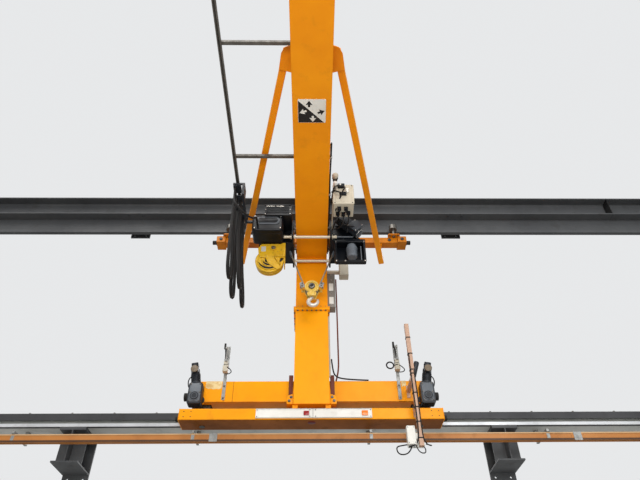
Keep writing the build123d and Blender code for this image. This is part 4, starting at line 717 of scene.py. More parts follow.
# A panel's size in these dictionaries is its width, height, corner and depth, and how soft its edges are
cover = {
    "left": -0.772, "right": -0.372, "foot": 2.364, "top": 2.640, "front": -1.470,
    "bezelZ": 2.530, "bezel": (0.312, 0.132, 0.056, 0.010), "field": (0.262, 0.086, 0.038, 0.010),
    "screwX": 0.034, "screwZ": 0.036, "screw": [(0.004, 0), (0.009, 0.002), (0.011, 0.006)],
    "bandYs": (-1.400, -1.260), "bandWidth": 0.406, "bandProud": 0.006, "bandDepth": 0.008,
}


def addCoverTrim():
    left, right, foot, top, front = (cover[side] for side in ("left", "right", "foot", "top", "front"))
    middleX, bezelZ = (left + right) / 2, cover["bezelZ"]
    rim = addPanel("y", at(middleX, front - 0.0065, bezelZ), *cover["bezel"])
    finishPiece(rim, "coverBezel", "bezelGrey", "trolley")
    field = addPanel("y", at(middleX, front - 0.0080, bezelZ), *cover["field"])
    finishPiece(field, "coverField", "hoistBlack", "trolley")
    heads = []
    for x in (left + cover["screwX"], right - cover["screwX"]):
        for z in (foot + cover["screwZ"], top - cover["screwZ"]):
            heads.append(smoothRound(addTurned("y", at(x, front - 0.006, z), cover["screw"], 16)))
    finishPiece(join(heads), "coverScrews", "brightRod", "trolley")
    bands, tall = [], top - foot + cover["bandProud"]
    for y in cover["bandYs"]:
        points = roundedPoints("y", at(middleX, y, (top + foot) / 2), cover["bandWidth"], tall, 0.050)
        bands.append(addOutline(points, (0, cover["bandDepth"], 0)))
    finishPiece(roundEdges(join(bands), 0.0015, 1), "coverBands", "hoistBlack", "trolley")


louvre = {
    "count": 5, "pitch": 0.034, "foot": 2.634, "left": -0.598, "right": -0.298, "lean": radians(-24),
    "front": -1.506, "depth": 0.010, "thick": 0.005, "middle": (-0.45, -1.50),
    "lid": ((-0.622, -1.507, 2.774), (-0.270, -1.160, 2.790)),
    "lightXs": (-0.545, -0.415), "light": (0.105, 0.006, 0.0028, 0.006, 0), "screw": 0.005,
}


def addLouvres():
    slats = []
    for i in range(louvre["count"]):
        z = louvre["foot"] + louvre["pitch"] * i
        slat = addBlock(at(louvre["left"], louvre["front"], z),
                        at(louvre["right"], louvre["front"] + louvre["depth"], z + louvre["thick"]))
        slats.append(tilt(slat, "X", louvre["lean"], at(*louvre["middle"], z)))
    finishPiece(join(slats), "louvreSlats", "driveGrey", "trolley")
    lid = addBlock(*allAt(louvre["lid"]))
    finishPiece(roundEdges(lid, 0.004), "louvreLid", "hoistBlack", "trolley")
    lights = [addPanel("y", at(x, -1.5045, 2.760), *louvre["light"]) for x in louvre["lightXs"]]
    finishPiece(join(lights), "louvreEdges", "brightRod", "trolley")
    spots = [(x, -1.500, z) for x in (-0.606, -0.284) for z in (2.622, 2.700)]
    finishPiece(addBolts("y", spots, louvre["screw"]), "louvreScrews", "brightRod", "trolley")


# The guard's two curved openings, drawn as dark plates of painted shade with yellow ribs along their edges:
# radius, greatest width, angles from and to, and drop below the middle
drum = {
    "x": -0.543, "z": 2.090, "front": -1.196, "plate": 0.012, "rim": 0.181, "rimSteps": 18,
    "openings": ((0.152, 0.044, 186, 342, 0.0), (0.094, 0.042, 178, 322, -0.004)),
    "gap": ((-0.450, 2.118), (-0.372, 2.126), (-0.368, 2.100), (-0.398, 2.060), (-0.440, 2.044),
            (-0.470, 2.066)),
    "boltSpots": ((-0.668, 2.325), (-0.575, 2.325), (-0.440, 2.325), (-0.360, 2.318), (-0.660, 2.205),
                  (-0.590, 2.150), (-0.440, 2.220), (-0.362, 2.140)),
    "skin": 0.0012, "openingDepth": 0.0010, "ribOut": 0.003, "outerRib": 0.0065, "innerRib": 0.0055,
    "label": (0.062, 0.086, 0.008, 0.003, 0), "bolt": 0.007, "lever": 0.009,
    "boss": [(0.006, 0), (0.012, 0.0), (0.014, 0.004), (0.014, 0.008), (0.026, 0.010), (0.030, 0.016),
             (0.034, 0.030)],
}


# an opening is a thin dark plate on the guard's face: painted shade for what is seen through it
def addOpeningShade(outline):
    skinY = drum["front"] - drum["skin"]
    return addOutline([at(x, skinY, z) for x, z in outline], (0, drum["openingDepth"], 0))


def addRib(edge, radius):
    return addHose([(x, drum["front"] - drum["ribOut"], z) for x, z in edge], radius)


def addGuardOpenings():
    x, z, steps = drum["x"], drum["z"], drum["rimSteps"]
    openings, ribs = [], []
    for radius, width, start, end, drop in drum["openings"]:
        outer, inner = [], []
        for i in range(steps + 1):
            angle = radians(start + (end - start) * i / steps)
            inward = radius - width * sin(pi * (i + 0.3) / (steps + 0.6)) ** 0.7  # round at both ends
            outer.append((x + radius * cos(angle), z + drop + radius * sin(angle)))
            inner.append((x + inward * cos(angle), z + drop + inward * sin(angle)))
        openings.append(addOpeningShade(outer + inner[::-1]))
        ribs += [addRib(outer, drum["outerRib"]), addRib(inner, drum["innerRib"])]
    # the gap under the ledge is one more dark plate of painted shade
    openings.append(addOpeningShade(drum["gap"]))
    finishPiece(join(openings), "guardOpeningShade", "hoistBlack", "trolley")
    finishPiece(join(ribs), "guardRibs", "enamelYellow", "trolley")


def addDrumGuardTrim():
    x, z, front = drum["x"], drum["z"], drum["front"]
    bed = addBarrel("y", at(x, front + 0.056, z), 0.1515, 0.100, 64)
    finishPiece(smoothRound(bed), "drumShade", "hoistBlack", "trolley")
    rims = [addRing("y", at(x, front + 0.010 + 0.040 * i, z), drum["rim"] - 0.005 * i, 0.0035, 56)
            for i in range(3)]
    finishPiece(join(rims), "guardRims", "enamelYellow", "trolley")
    addGuardOpenings()
    face = front - drum["plate"]
    label = addPanel("y", at(-0.628, face - 0.0015, 2.268), *drum["label"])
    finishPiece(label, "guardLabel", "labelPale", "trolley")
    boss = addTurned("y", at(-0.500, front - 0.052, 2.275), drum["boss"], 32)
    finishPiece(smoothRound(boss), "guardBoss", "rollerSteel", "trolley")
    spots = [(sx, face, sz) for sx, sz in drum["boltSpots"]]
    finishPiece(addBolts("y", spots, drum["bolt"]), "guardBolts", "enamelYellow", "trolley")
    lever = addHose([(-0.470, front - 0.020, 2.200), (-0.478, front - 0.030, 2.130),
                     (-0.448, front - 0.030, 2.070), (-0.405, front - 0.018, 2.010)], drum["lever"])
    finishPiece(lever, "guardLever", "enamelYellow", "trolley")
    ledge = addBlock(at(-0.470, front - 0.034, 2.128), at(-0.345, front - 0.004, 2.142))
    finishPiece(roundEdges(ledge, 0.003), "guardLedge", "enamelYellow", "trolley")


addCoverTrim()
addLouvres()
addDrumGuardTrim()
print("left hoist unit dressed")


# Hoist trolley, right: frame, motors, cabinet and lamps

motorFrame = {
    "front": -1.240, "motorX": 0.525, "motorY": -1.166, "ringZs": (2.200, 2.226, 2.252), "bolt": 0.008,
    "strip": ((0.636, -1.196, 2.085), (0.650, -1.186, 2.330)), "lip": (0.404, 0.024, 0.006, 0.006),
    "boltSpots": ((0.316, 2.046), (0.430, 2.043), (0.684, 2.046), (0.316, 2.370), (0.684, 2.370)),
}


def addFrameTrim():
    front = motorFrame["front"]
    spots = [(x, front, z) for x, z in motorFrame["boltSpots"]]
    bolts = addBolts("y", spots, motorFrame["bolt"])
    finishPiece(bolts, "frameBolts", "brightRod", "trolley")
    strip = addBlock(*allAt(motorFrame["strip"]))
    finishPiece(roundEdges(strip, 0.003), "frameStrip", "motorGrey", "trolley")
    lip = addPanel("y", at(0.500, front - 0.005, 2.374), *motorFrame["lip"])
    finishPiece(lip, "frameLip", "hoistBlack", "trolley")
    rings = [addRing("z", at(motorFrame["motorX"], motorFrame["motorY"], z), 0.069, 0.003, 48)
             for z in motorFrame["ringZs"]]
    finishPiece(join(rings), "hoistMotorRings", "motorGrey", "trolley")


# The travel motor is built upright on its start and then laid down; rings give its turned housing
slope = {
    "x": 0.362, "y": -1.272, "z": 2.742, "turn": radians(135), "fins": 20, "finHalf": 0.0022,
    "collarScrews": 8, "collarRadius": 0.0745, "collarUp": 0.231, "boxMiddle": 0.297,
    "rings": [(0.040, -0.004), (0.060, 0.0), (0.067, 0.008), (0.072, 0.010), (0.072, 0.078), (0.062, 0.084),
              (0.062, 0.222), (0.072, 0.226), (0.072, 0.236), (0.066, 0.240), (0.066, 0.300), (0.070, 0.304),
              (0.070, 0.372), (0.058, 0.384), (0.030, 0.386)],
    "cable": [(0.560, -1.372, 2.520), (0.520, -1.400, 2.490), (0.440, -1.390, 2.520), (0.380, -1.380, 2.600),
              (0.330, -1.460, 2.640)],
}


def onSlope(piece):
    return tilt(piece, "Y", slope["turn"], at(slope["x"], slope["y"], slope["z"]))


def addTravelMotor():
    x, y, z, half = slope["x"], slope["y"], slope["z"], slope["finHalf"]
    housing = [addTurned("z", at(x, y, z), slope["rings"], 48)]
    for i in range(slope["fins"]):
        fin = addBlock(at(x + 0.058, y - half, z + 0.088), at(x + 0.0715, y + half, z + 0.220))
        housing.append(tilt(fin, "Z", 2 * pi * i / slope["fins"], at(x, y, z)))
    body = onSlope(smoothRound(join(housing)))
    finishPiece(body, "travelMotor", "driveGrey", "trolley")
    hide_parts("travel_motor")
    box = addBlock(at(x - 0.074, y - 0.100, z + 0.222), at(x + 0.070, y - 0.050, z + 0.368))
    lid = addBlock(at(x - 0.079, y - 0.107, z + 0.217), at(x + 0.075, y - 0.096, z + 0.373))
    channel = addBlock(at(x - 0.052, y - 0.096, z + 0.012), at(x + 0.052, y - 0.056, z + 0.226))
    shell = roundEdges(join([box, lid, channel]), 0.006)
    foot = addBlock(at(x - 0.045, y + 0.030, z + 0.050), at(x + 0.045, y + 0.073, z + 0.170))
    finishPiece(onSlope(join([shell, foot])), "travelMotorBox", "driveGrey", "trolley")
    corners = [(x + dx, y - 0.107, z + slope["boxMiddle"] + dz)
               for dx in (-0.066, 0.062) for dz in (-0.066, 0.060)]
    angles = [pi * (1 + 2 * i) / slope["collarScrews"] for i in range(slope["collarScrews"])]
    radius = slope["collarRadius"]
    collar = [(x + radius * cos(angle), y + radius * sin(angle), z + slope["collarUp"]) for angle in angles]
    screws = join([addBolts("y", corners, 0.005), addBolts("z", collar, 0.006)])
    finishPiece(onSlope(screws), "travelMotorScrews", "brightRod", "trolley")
    cowl = addRing("z", at(x, y, z + 0.378), 0.062, 0.004, 48)
    finishPiece(onSlope(cowl), "travelMotorCowl", "brightRod", "trolley")
    cable = addHose(slope["cable"], 0.008)
    finishPiece(cable, "travelMotorCable", "rubberBlack", "trolley")


triangle = {
    "face": -1.200, "lip": 0.004, "edgeRadius": 0.005, "bolt": 0.009,
    "edge": ((0.275, 2.690), (0.400, 2.686), (0.640, 2.446), (0.640, 2.418)),
    "boltSpots": ((0.290, 2.640), (0.290, 2.540), (0.300, 2.440), (0.420, 2.436), (0.560, 2.436)),
}


def addTriangleTrim():
    face = triangle["face"]
    edge = addHose([(x, face - triangle["lip"], z) for x, z in triangle["edge"]],
                   triangle["edgeRadius"])
    finishPiece(edge, "triangleEdge", "hoistBlack", "trolley")
    spots = [(x, face, z) for x, z in triangle["boltSpots"]]
    bolts = addBolts("y", spots, triangle["bolt"])
    finishPiece(bolts, "triangleBolts", "rollerSteel", "trolley")
    tube = addBarrel("x", at(0.420, face - 0.016, 2.470), 0.012, 0.260, 20)
    finishPiece(smoothRound(tube), "triangleTube", "bezelGrey", "trolley")


cabinet = {
    "left": 0.274, "right": 0.530, "front": -1.800, "foot": 2.500, "top": 2.850, "lid": 0.010,
    "screwX": 0.018, "screwZ": 0.020, "screw": 0.006, "hose": 0.009, "field": (0.206, 0.290, 0.010, 0.006),
    "plugSpots": ((0.330, -1.650), (0.400, -1.640), (0.465, -1.660), (0.345, -1.740), (0.430, -1.735)),
}


def addCabinetTrim():
    left, right, foot, top = cabinet["left"], cabinet["right"], cabinet["foot"], cabinet["top"]
    front = cabinet["front"]
    face, middleX, middleZ = front - cabinet["lid"], (left + right) / 2, (foot + top) / 2
    wide, tall = right - left + 0.012, top - foot - 0.004
    lid = addPanel("y", at(middleX, face, middleZ), wide, tall, 0.012, 0.018, 0.004)
    finishPiece(lid, "cabinetLid", "boxCream", "trolley")
    inset = addPanel("y", at(middleX, front - 0.0125, middleZ), *cabinet["field"])
    finishPiece(inset, "cabinetField", "boxCream", "trolley")
    inX, inZ = cabinet["screwX"], cabinet["screwZ"]
    corners = [(x, face, z) for x in (left + inX, right - inX) for z in (foot + inZ, top - inZ)]
    screws = addBolts("y", corners, cabinet["screw"])
    finishPiece(screws, "cabinetScrews", "rollerSteel", "trolley")
    plugs = []
    for x, y in cabinet["plugSpots"]:
        plugs.append(addBlock(at(x - 0.024, y - 0.020, foot - 0.040), at(x + 0.024, y + 0.020, foot + 0.002)))
        plugs.append(addBarrel("z", at(x, y, foot - 0.056), 0.013, 0.034, 12))
    finishPiece(roundEdges(join(plugs), 0.002, 1), "cabinetPlugs", "hoistBlack", "trolley")
    sockets = [addBlock(at(0.330, front - 0.052, 2.770), at(0.420, face, 2.830)),
               addBlock(at(0.352, front - 0.040, 2.640), at(0.440, face, 2.686))]
    finishPiece(roundEdges(join(sockets), 0.005), "cabinetSockets", "hoistBlack", "trolley")
    pale = [addBlock(at(0.440, front - 0.034, 2.690), at(0.470, face, 2.760)),
            addBarrel("y", at(0.365, front - 0.058, 2.800), 0.012, 0.014, 16)]
    finishPiece(roundEdges(join(pale), 0.004), "cabinetPlates", "signWhite", "trolley")
    routes = [  # three hang from the plugs, three come from the sockets in front
        [(0.330, -1.650, foot - 0.070), (0.322, -1.660, foot - 0.130), (0.280, -1.560, foot - 0.120),
         (0.270, -1.360, foot - 0.040)],
        [(0.400, -1.640, foot - 0.070), (0.405, -1.600, foot - 0.150), (0.340, -1.470, foot - 0.110),
         (0.300, -1.360, foot - 0.020)],
        [(0.465, -1.660, foot - 0.070), (0.470, -1.600, foot - 0.120), (0.440, -1.500, foot - 0.100),
         (0.400, -1.380, foot + 0.060)],
        [(0.345, front - 0.050, 2.790), (0.290, front - 0.070, 2.760), (0.262, front - 0.020, 2.700),
         (0.250, -1.700, 2.620)],
        [(0.400, front - 0.040, 2.664), (0.340, front - 0.075, 2.640), (0.290, front - 0.050, 2.700),
         (0.256, -1.780, 2.740)],
        [(0.410, front - 0.045, 2.775), (0.430, front - 0.085, 2.720), (0.380, front - 0.080, 2.650),
         (0.300, -1.700, 2.480)],
    ]
    hoses = join([addHose(route, cabinet["hose"]) for route in routes])
    finishPiece(hoses, "cabinetHoses", "rubberBlack", "trolley")


beacon = {
    "x": 0.296, "z": 2.815, "smallLampZ": 2.742,
    "smallLamp": [(0.006, 0), (0.020, 0.004), (0.026, 0.016), (0.026, 0.044), (0.018, 0.050)],
}


def addBeacon():
    x, z, lowZ = beacon["x"], beacon["z"], beacon["smallLampZ"]
    parts = [addRing("y", at(x, -1.952, z), 0.034, 0.005, 32),
             addBarrel("y", at(x, -1.926, z), 0.030, 0.030, 28)]
    finishPiece(smoothRound(join(parts)), "beaconCollar", "driveGrey", "trolley")
    lamp = addTurned("y", at(x, -1.960, lowZ), beacon["smallLamp"], 28)
    finishPiece(smoothRound(lamp), "smallLamp", "signWhite", "trolley")
    arm = [addBarrel("y", at(x, -1.852, lowZ), 0.010, 0.110, 14),
           addBlock(at(x - 0.016, -1.812, 2.730), at(x + 0.016, -1.790, 2.830))]
    finishPiece(roundEdges(join(arm), 0.002, 1), "lampArm", "galvanised", "trolley")


addFrameTrim()
addTravelMotor()
addTriangleTrim()
addCabinetTrim()
addBeacon()
print("right hoist unit dressed")


# Ropes, hook block and hook

rope = {
    "ys": (-1.020, -0.980), "tops": (-0.292, 0.296), "topZ": 2.385, "tuck": 0.006, "steps": 24,
    "sheaveRadius": 0.076, "radius": 0.0050, "blockZ": 1.775, "fixedZ": 2.36, "blockTopZ": 1.88,
    "socketZ": 2.320, "socket": [(0.008, -0.008), (0.012, 0), (0.015, 0.030), (0.015, 0.062)],
}


# The hook's spine gives x, z and the radius there, from the shank down and round to the tip
hook = {
    "y": -1.0,
    "spine": [
        (0.000, 1.672, 0.017), (0.000, 1.640, 0.018), (-0.012, 1.622, 0.021), (-0.037, 1.600, 0.024),
        (-0.043, 1.566, 0.026), (-0.024, 1.534, 0.027), (0.014, 1.521, 0.027), (0.051, 1.533, 0.025),
        (0.073, 1.562, 0.020), (0.078, 1.590, 0.015), (0.073, 1.608, 0.010)],
    "collar": [(0.018, 0), (0.026, 0.004), (0.026, 0.010), (0.018, 0.014)],
    "nut": [(0.012, 0), (0.025, 0.0), (0.025, 0.016), (0.012, 0.016)],
    "tip": [(0.010, 0), (0.009, 0.005), (0.005, 0.008), (0.001, 0.009)],
    "latchZ": 1.618, "latchLean": radians(10),
}


def ropeFoot(topX):  # where the rope leaves its sheave
    rise = rope["topZ"] - rope["blockZ"]
    away = hypot(topX, rise)
    swing = acos(rope["sheaveRadius"] / away)
    towards = atan2(rise, topX)
    angle = towards - swing if topX > 0 else towards + swing
    return rope["sheaveRadius"] * cos(angle), rope["blockZ"] + rope["sheaveRadius"] * sin(angle)


def addRopes():
    lines = []
    for topX in rope["tops"]:
        footX, footZ = ropeFoot(topX)
        for y in rope["ys"]:
            spots = []
            for i in range(rope["steps"] + 1):
                share = i / rope["steps"]
                z = footZ + (rope["topZ"] + rope["tuck"] - footZ) * share
                spots.append(at(footX + (topX - footX) * share, y, z))
            lines.append(makeMesh(thicken(newLine("ropeLine", spots, "POLY"), rope["radius"], 2)))
    ropes = smoothRound(join(lines))
    paint(ropes, "hoistRopes", "ropeSteel")
    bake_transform(ropes)
    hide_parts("ropes")


def addRopeEnds():
    ends = []
    for topX in rope["tops"]:
        footX, footZ = ropeFoot(topX)
        lean = atan2(topX - footX, rope["topZ"] - footZ)
        for y in rope["ys"]:
            socket = addTurned("z", at(topX, y, rope["socketZ"]), rope["socket"], 16)
            ends.append(tilt(socket, "Y", lean, at(topX, y, rope["topZ"])))
    finishPiece(smoothRound(join(ends)), "ropeSockets", "bezelGrey", "trolley")


block = {
    "guardX": 0.122, "guardZ": 0.020, "guardLean": radians(24), "guardFace": -1.066, "clevisX": 0.138,
    "guard": (0.052, 0.082, 0.016, 0.008, 0.002), "bolt": 0.008, "ringRadius": 0.080, "ringThick": 0.013,
    "hub": [(0.010, 0.004), (0.020, 0.003), (0.024, 0), (0.034, 0.001), (0.040, 0.006), (0.042, 0.024)],
}


def addBlockTrim():
    z, guardX, face = rope["blockZ"], block["guardX"], block["guardFace"]
    ring = addRing("y", at(0, -1.054, z), block["ringRadius"], block["ringThick"], 48)
    finishPiece(ring, "blockRing", "blockYellow", "hook_block")
    hub = addTurned("y", at(0, -1.086, z), block["hub"], 36)
    finishPiece(smoothRound(hub), "blockHub", "rollerSteel", "hook_block")
    core = addBarrel("y", at(0, -1.084, z), 0.019, 0.006, 24)
    finishPiece(core, "blockCore", "driveGrey", "hook_block")
    guards = []
    for side in (-1, 1):
        plate = addPanel("y", at(side * guardX, face, z + block["guardZ"]), *block["guard"])
        hinge = at(side * guardX, -1.062, z + block["guardZ"])
        guards.append(tilt(plate, "Y", side * block["guardLean"], hinge))
        clevis = addBarrel("y", at(side * block["clevisX"], hook["y"], z + 0.052), 0.013, 0.112, 20)
        guards.append(smoothRound(clevis))
    finishPiece(join(guards), "ropeGuards", "galvanised", "hook_block")
    spots = [(side * guardX, face, z + dz) for side in (-1, 1) for dz in (0.000, 0.040)]
    spots += [(side * 0.060, -1.052, z - 0.084) for side in (-1, 1)]
    bolts = addBolts("y", spots, block["bolt"])
    finishPiece(bolts, "blockBolts", "rollerSteel", "hook_block")
    web = addBlock(at(-0.034, -1.066, z - 0.140), at(0.034, -1.052, z - 0.084))
    finishPiece(roundEdges(web, 0.004), "blockWeb", "blockYellow", "hook_block")


def addHook():
    y, latchZ = hook["y"], hook["latchZ"]
    spine = newLine("hookSpine", [at(x, y, z) for x, z, radius in hook["spine"]], "NURBS", 10)
    for knot, (x, z, radius) in zip(spine.splines[0].points, hook["spine"]):
        knot.radius = radius
    shape = smoothRound(makeMesh(thicken(spine, 1.0, 6)))
    collar = smoothRound(addTurned("z", at(0, y, 1.622), hook["collar"], 32))
    nut = addTurned("z", at(0, y, 1.6683), hook["nut"], 6)
    tip = smoothRound(addTurned("z", at(0.073, y, 1.604), hook["tip"], 20))
    forged = finishPiece(join([shape, collar, nut, tip]), "forgedHook", "forgedSteel", "hook")
    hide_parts("hook")
    latch = roundEdges(addBlock(at(0.010, y - 0.012, 1.6165), at(0.076, y + 0.012, 1.6195)), 0.001, 1)
    latch = tilt(latch, "Y", hook["latchLean"], at(0.010, y, latchZ))
    pin = addBarrel("y", at(0.012, y, latchZ), 0.005, 0.050, 14)
    finishPiece(join([latch, pin]), "hookLatch", "brightRod", "hook")


addRopes()
addRopeEnds()
addBlockTrim()
addHook()
print("hook block dressed")


# Crane: joints, signs and lamps

flange = {
    "under": 1.655, "over": 1.705, "bolt": 0.010,
    "frontY": -0.7025, "frontStart": -0.18, "frontPitch": 0.06, "frontBolts": 7,
    "sideX": 0.2225, "sideStart": -0.64, "sidePitch": 0.13, "sideBolts": 4,
    "weld": (0.432, 0.502, 0.006, 0.008, 0),
}


def addFlangeJoint():
    spots = [(flange["frontStart"] + flange["frontPitch"] * i, flange["frontY"], flange["under"])
             for i in range(flange["frontBolts"])]
    spots += [(side * flange["sideX"], flange["sideStart"] + flange["sidePitch"] * i, flange["under"])
              for side in (-1, 1) for i in range(flange["sideBolts"])]
    heads = addBolts("z", spots, flange["bolt"])
    nuts = addBolts("z", [(x, y, flange["over"]) for x, y, z in spots], flange["bolt"], 1)
    finishPiece(join([heads, nuts]), "jointBolts", "rollerSteel", "crane")
    weld = addPanel("z", at(0, -0.445, 1.648), *flange["weld"])
    finishPiece(weld, "jointWeld", "jibOrange", "crane")


# A lug at each side of the post: its outline and its two bolts, on the right side
lug = {
    "front": -0.640, "depth": 0.110, "bolt": 0.013, "boltSpots": ((0.262, 0.430), (0.240, 0.476)),
    "outline": ((0.212, 0.392), (0.292, 0.392), (0.292, 0.470), (0.270, 0.500), (0.212, 0.520)),
}


def addPostFoot():
    front, lugs, spots = lug["front"], [], []
    for side in (-1, 1):
        plate = addOutline([at(side * x, front, z) for x, z in lug["outline"]], (0, lug["depth"], 0))
        lugs.append(roundEdges(plate, 0.004))
        spots += [(side * x, front, z) for x, z in lug["boltSpots"]]
    finishPiece(join(lugs), "postLugs", "craneYellow", "crane")
    finishPiece(addBolts("y", spots, lug["bolt"]), "postLugBolts", "rollerSteel", "crane")


signal = {
    "face": -0.751, "edge": 0.003, "left": -0.630, "right": 0.680, "foot": 0.176, "top": 0.284,
    "edgeWidth": 0.0045, "lampZ": 0.229, "redX": -0.060, "orangeX": 0.600, "lampOut": 0.007,
    "red": (0.062, 0.050, 0.004, 0.008), "orange": (0.070, 0.056, 0.004, 0.008),
    "ribs": 5, "ribStart": -0.088, "ribPitch": 0.014, "ribWidth": 0.004, "screw": 0.004,
    "lens": (0.090, 0.080, 0.038, 0.006, 0.001),
}


def addSignalPanel():
    face, left, right, foot, top = (signal[side] for side in ("face", "left", "right", "foot", "top"))
    edgeFace, edgeWidth, lampFace = face - signal["edge"], signal["edgeWidth"], face - signal["lampOut"]
    edges = [addBlock(at(left, edgeFace, top - edgeWidth), at(right, face, top)),
             addBlock(at(left, edgeFace, foot), at(right, face, foot + edgeWidth)),
             addBlock(at(0.010, edgeFace, foot), at(0.016, face, top))]
    finishPiece(join(edges), "panelEdges", "labelPale", "crane")
    red = addPanel("y", at(signal["redX"], lampFace, signal["lampZ"]), *signal["red"])
    finishPiece(red, "redLamp", "lampRed", "crane")
    starts = [signal["ribStart"] + signal["ribPitch"] * i for i in range(signal["ribs"])]
    ribs = [addBlock(at(x, face - 0.009, 0.206), at(x + signal["ribWidth"], face - 0.006, 0.252))
            for x in starts]
    finishPiece(join(ribs), "redLampRibs", "lensDark", "crane")
    orange = addPanel("y", at(signal["orangeX"], lampFace, signal["lampZ"]), *signal["orange"])
    finishPiece(orange, "orangeLamp", "lampOrange", "crane")
    spots = [(x, face, z) for x in (-0.615, -0.02, 0.045, 0.665) for z in (0.192, 0.268)]
    finishPiece(addBolts("y", spots, signal["screw"]), "panelScrews", "rollerSteel", "crane")
    lens = addPanel("z", at(0.0, -0.650, 0.1590), *signal["lens"])
    finishPiece(lens, "beamLens", "lensDark", "crane")


sign = {
    "corners": ((-0.147, -3.302), (-0.147, -3.023), (0.132, -3.023)), "halfZ": 2.5364, "arrowZ": 2.5358,
    "paint": 0.0008, "arrowSize": 0.040,
    "arrow": ((0, 1), (0.95, -0.35), (0.3, -0.2), (0.3, -1), (-0.3, -1), (-0.3, -0.2), (-0.95, -0.35)),
}


def addArrow(x, y, turn):  # a plain arrow, flat on the sign's underside
    size = sign["arrowSize"]
    points = [at(x + size * (px * cos(turn) - py * sin(turn)), y + size * (px * sin(turn) + py * cos(turn)),
                 sign["arrowZ"]) for px, py in sign["arrow"]]
    return addOutline(points, (0, 0, sign["paint"]))


def addDirectionSign():
    black = addOutline([at(x, y, sign["halfZ"]) for x, y in sign["corners"]], (0, 0, sign["paint"]))
    finishPiece(black, "signHalf", "signBlack", "crane")
    dark = [addArrow(-0.030, -3.262, radians(180)), addArrow(0.100, -3.160, radians(250))]
    finishPiece(join(dark), "signDarkArrows", "signBlack", "crane")
    pale = [addArrow(-0.095, -3.160, radians(70)), addArrow(0.010, -3.070, 0)]
    finishPiece(join(pale), "signPaleArrows", "signWhite", "crane")


addFlangeJoint()
addPostFoot()
addSignalPanel()
addDirectionSign()
print("post, panel and sign dressed")


# Crane: drives, switches and collector pole

drive = {
    "x": 1.380, "front": -0.602, "hubZ": 0.512, "coverZ": 0.560, "plate": 0.004,
    "motorX": 0.008, "motorY": -0.544, "footZ": 0.678, "lean": 0.17, "fins": 8, "finPitch": 0.014,
    "finUp": 0.042, "capHalf": 0.042, "discUp": 0.176, "cover": (0.132, 0.232, 0.020, 0.008, 0.002),
    "screw": 0.007, "screwX": 0.056, "screwZs": (0.456, 0.560, 0.664), "cable": 0.007,
    "disc": [(0.012, 0), (0.014, 0.001), (0.040, 0.0), (0.044, 0.003), (0.046, 0.010)],
}


def addGearboxTrim(side):
    x, front = side * drive["x"], drive["front"]
    face = front - drive["plate"]
    rings = [addRing("y", at(x, front - 0.011, drive["hubZ"]), 0.055, 0.004, 40),
             addRing("y", at(x, front - 0.017, drive["hubZ"]), 0.034, 0.003, 32)]
    plate = addPanel("y", at(x, face, drive["coverZ"]), *drive["cover"])
    finishPiece(join([plate] + rings), f"gearboxCover{side}", "motorGrey", "crane")
    spots = [(x + dx, face, z) for dx in (-drive["screwX"], drive["screwX"]) for z in drive["screwZs"]]
    screws = addBolts("y", spots, drive["screw"])
    finishPiece(screws, f"gearboxBolts{side}", "rollerSteel", "crane")


def addDriveMotorTrim(side):
    x, y, z = side * drive["x"] + side * drive["motorX"], drive["motorY"], drive["footZ"]
    half = drive["capHalf"]
    fins = [addBarrel("z", at(x, y, z + drive["finUp"] + drive["finPitch"] * i), 0.0575, 0.004, 32)
            for i in range(drive["fins"])]
    cap = roundEdges(addBlock(at(x - half, y - half, z + 0.236), at(x + half, y + half, z + 0.290)), 0.010, 3)
    motor = tilt(join(fins + [cap]), "Y", atan2(side * drive["lean"], 1), at(x, y, z))
    finishPiece(motor, f"driveFins{side}", "hoistBlack", "crane")
    length = hypot(1, drive["lean"])
    discX = x + side * drive["lean"] / length * drive["discUp"]
    disc = addTurned("y", at(discX, -0.6475, z + drive["discUp"] / length), drive["disc"], 36)
    finishPiece(smoothRound(disc), f"driveDisc{side}", "discBrown", "crane")
    cable = addHose([(x + side * 0.052, -0.560, z + 0.110), (x + side * 0.100, -0.560, z + 0.090),
                     (x + side * 0.098, -0.540, z - 0.020), (x + side * 0.070, -0.470, 0.640)],
                    drive["cable"])
    finishPiece(cable, f"driveCable{side}", "rubberBlack", "crane")


switch = {
    "places": {-1: (-1.062, 1.120), 1: (1.065, 1.140)},  # across, and the height of the head
    "front": -0.552, "back": -0.480, "boltZs": (0.545, 0.700), "coilX": -0.095, "coilZ": -0.205,
}


def addSwitchTrim(side):
    x, head = switch["places"][side]
    front = switch["front"]
    box = addBlock(at(x - 0.033, front, head - 0.255), at(x + 0.029, switch["back"], head - 0.175))
    small = addBlock(at(x - 0.026, -0.546, head - 0.160), at(x + 0.020, -0.482, head - 0.118))
    boxes = roundEdges(join([box, small]), 0.004)
    finishPiece(boxes, f"switchBoxes{side}", "boxCream", "crane")
    levers = [addHose([(x, -0.548, head - 0.112), (x - 0.012, -0.560, head - 0.020),
                       (x - 0.024, front, head + 0.080)], 0.009),
              addBlock(at(x - 0.040, -0.564, head + 0.052), at(x - 0.018, -0.536, head + 0.124)),
              addHose([(x + 0.020, front, head - 0.200), (x + 0.090, -0.556, head - 0.252),
                       (x + 0.060, front, head - 0.300), (x + 0.010, -0.540, head - 0.290)], 0.006)]
    if side > 0:  # the right one has a coil of spare cable
        coilZ = head + switch["coilZ"]
        levers.append(addRing("y", at(x + switch["coilX"], front, coilZ), 0.044, 0.009, 28))
        levers.append(addHose([(x - 0.052, front, coilZ), (x + 0.010, -0.546, head - 0.190)], 0.007))
    finishPiece(join(levers), f"switchLevers{side}", "rubberBlack", "crane")
    spots = [(x, switch["back"], z) for z in switch["boltZs"]]
    finishPiece(addBolts("y", spots, 0.009), f"switchBolts{side}", "rollerSteel", "crane")


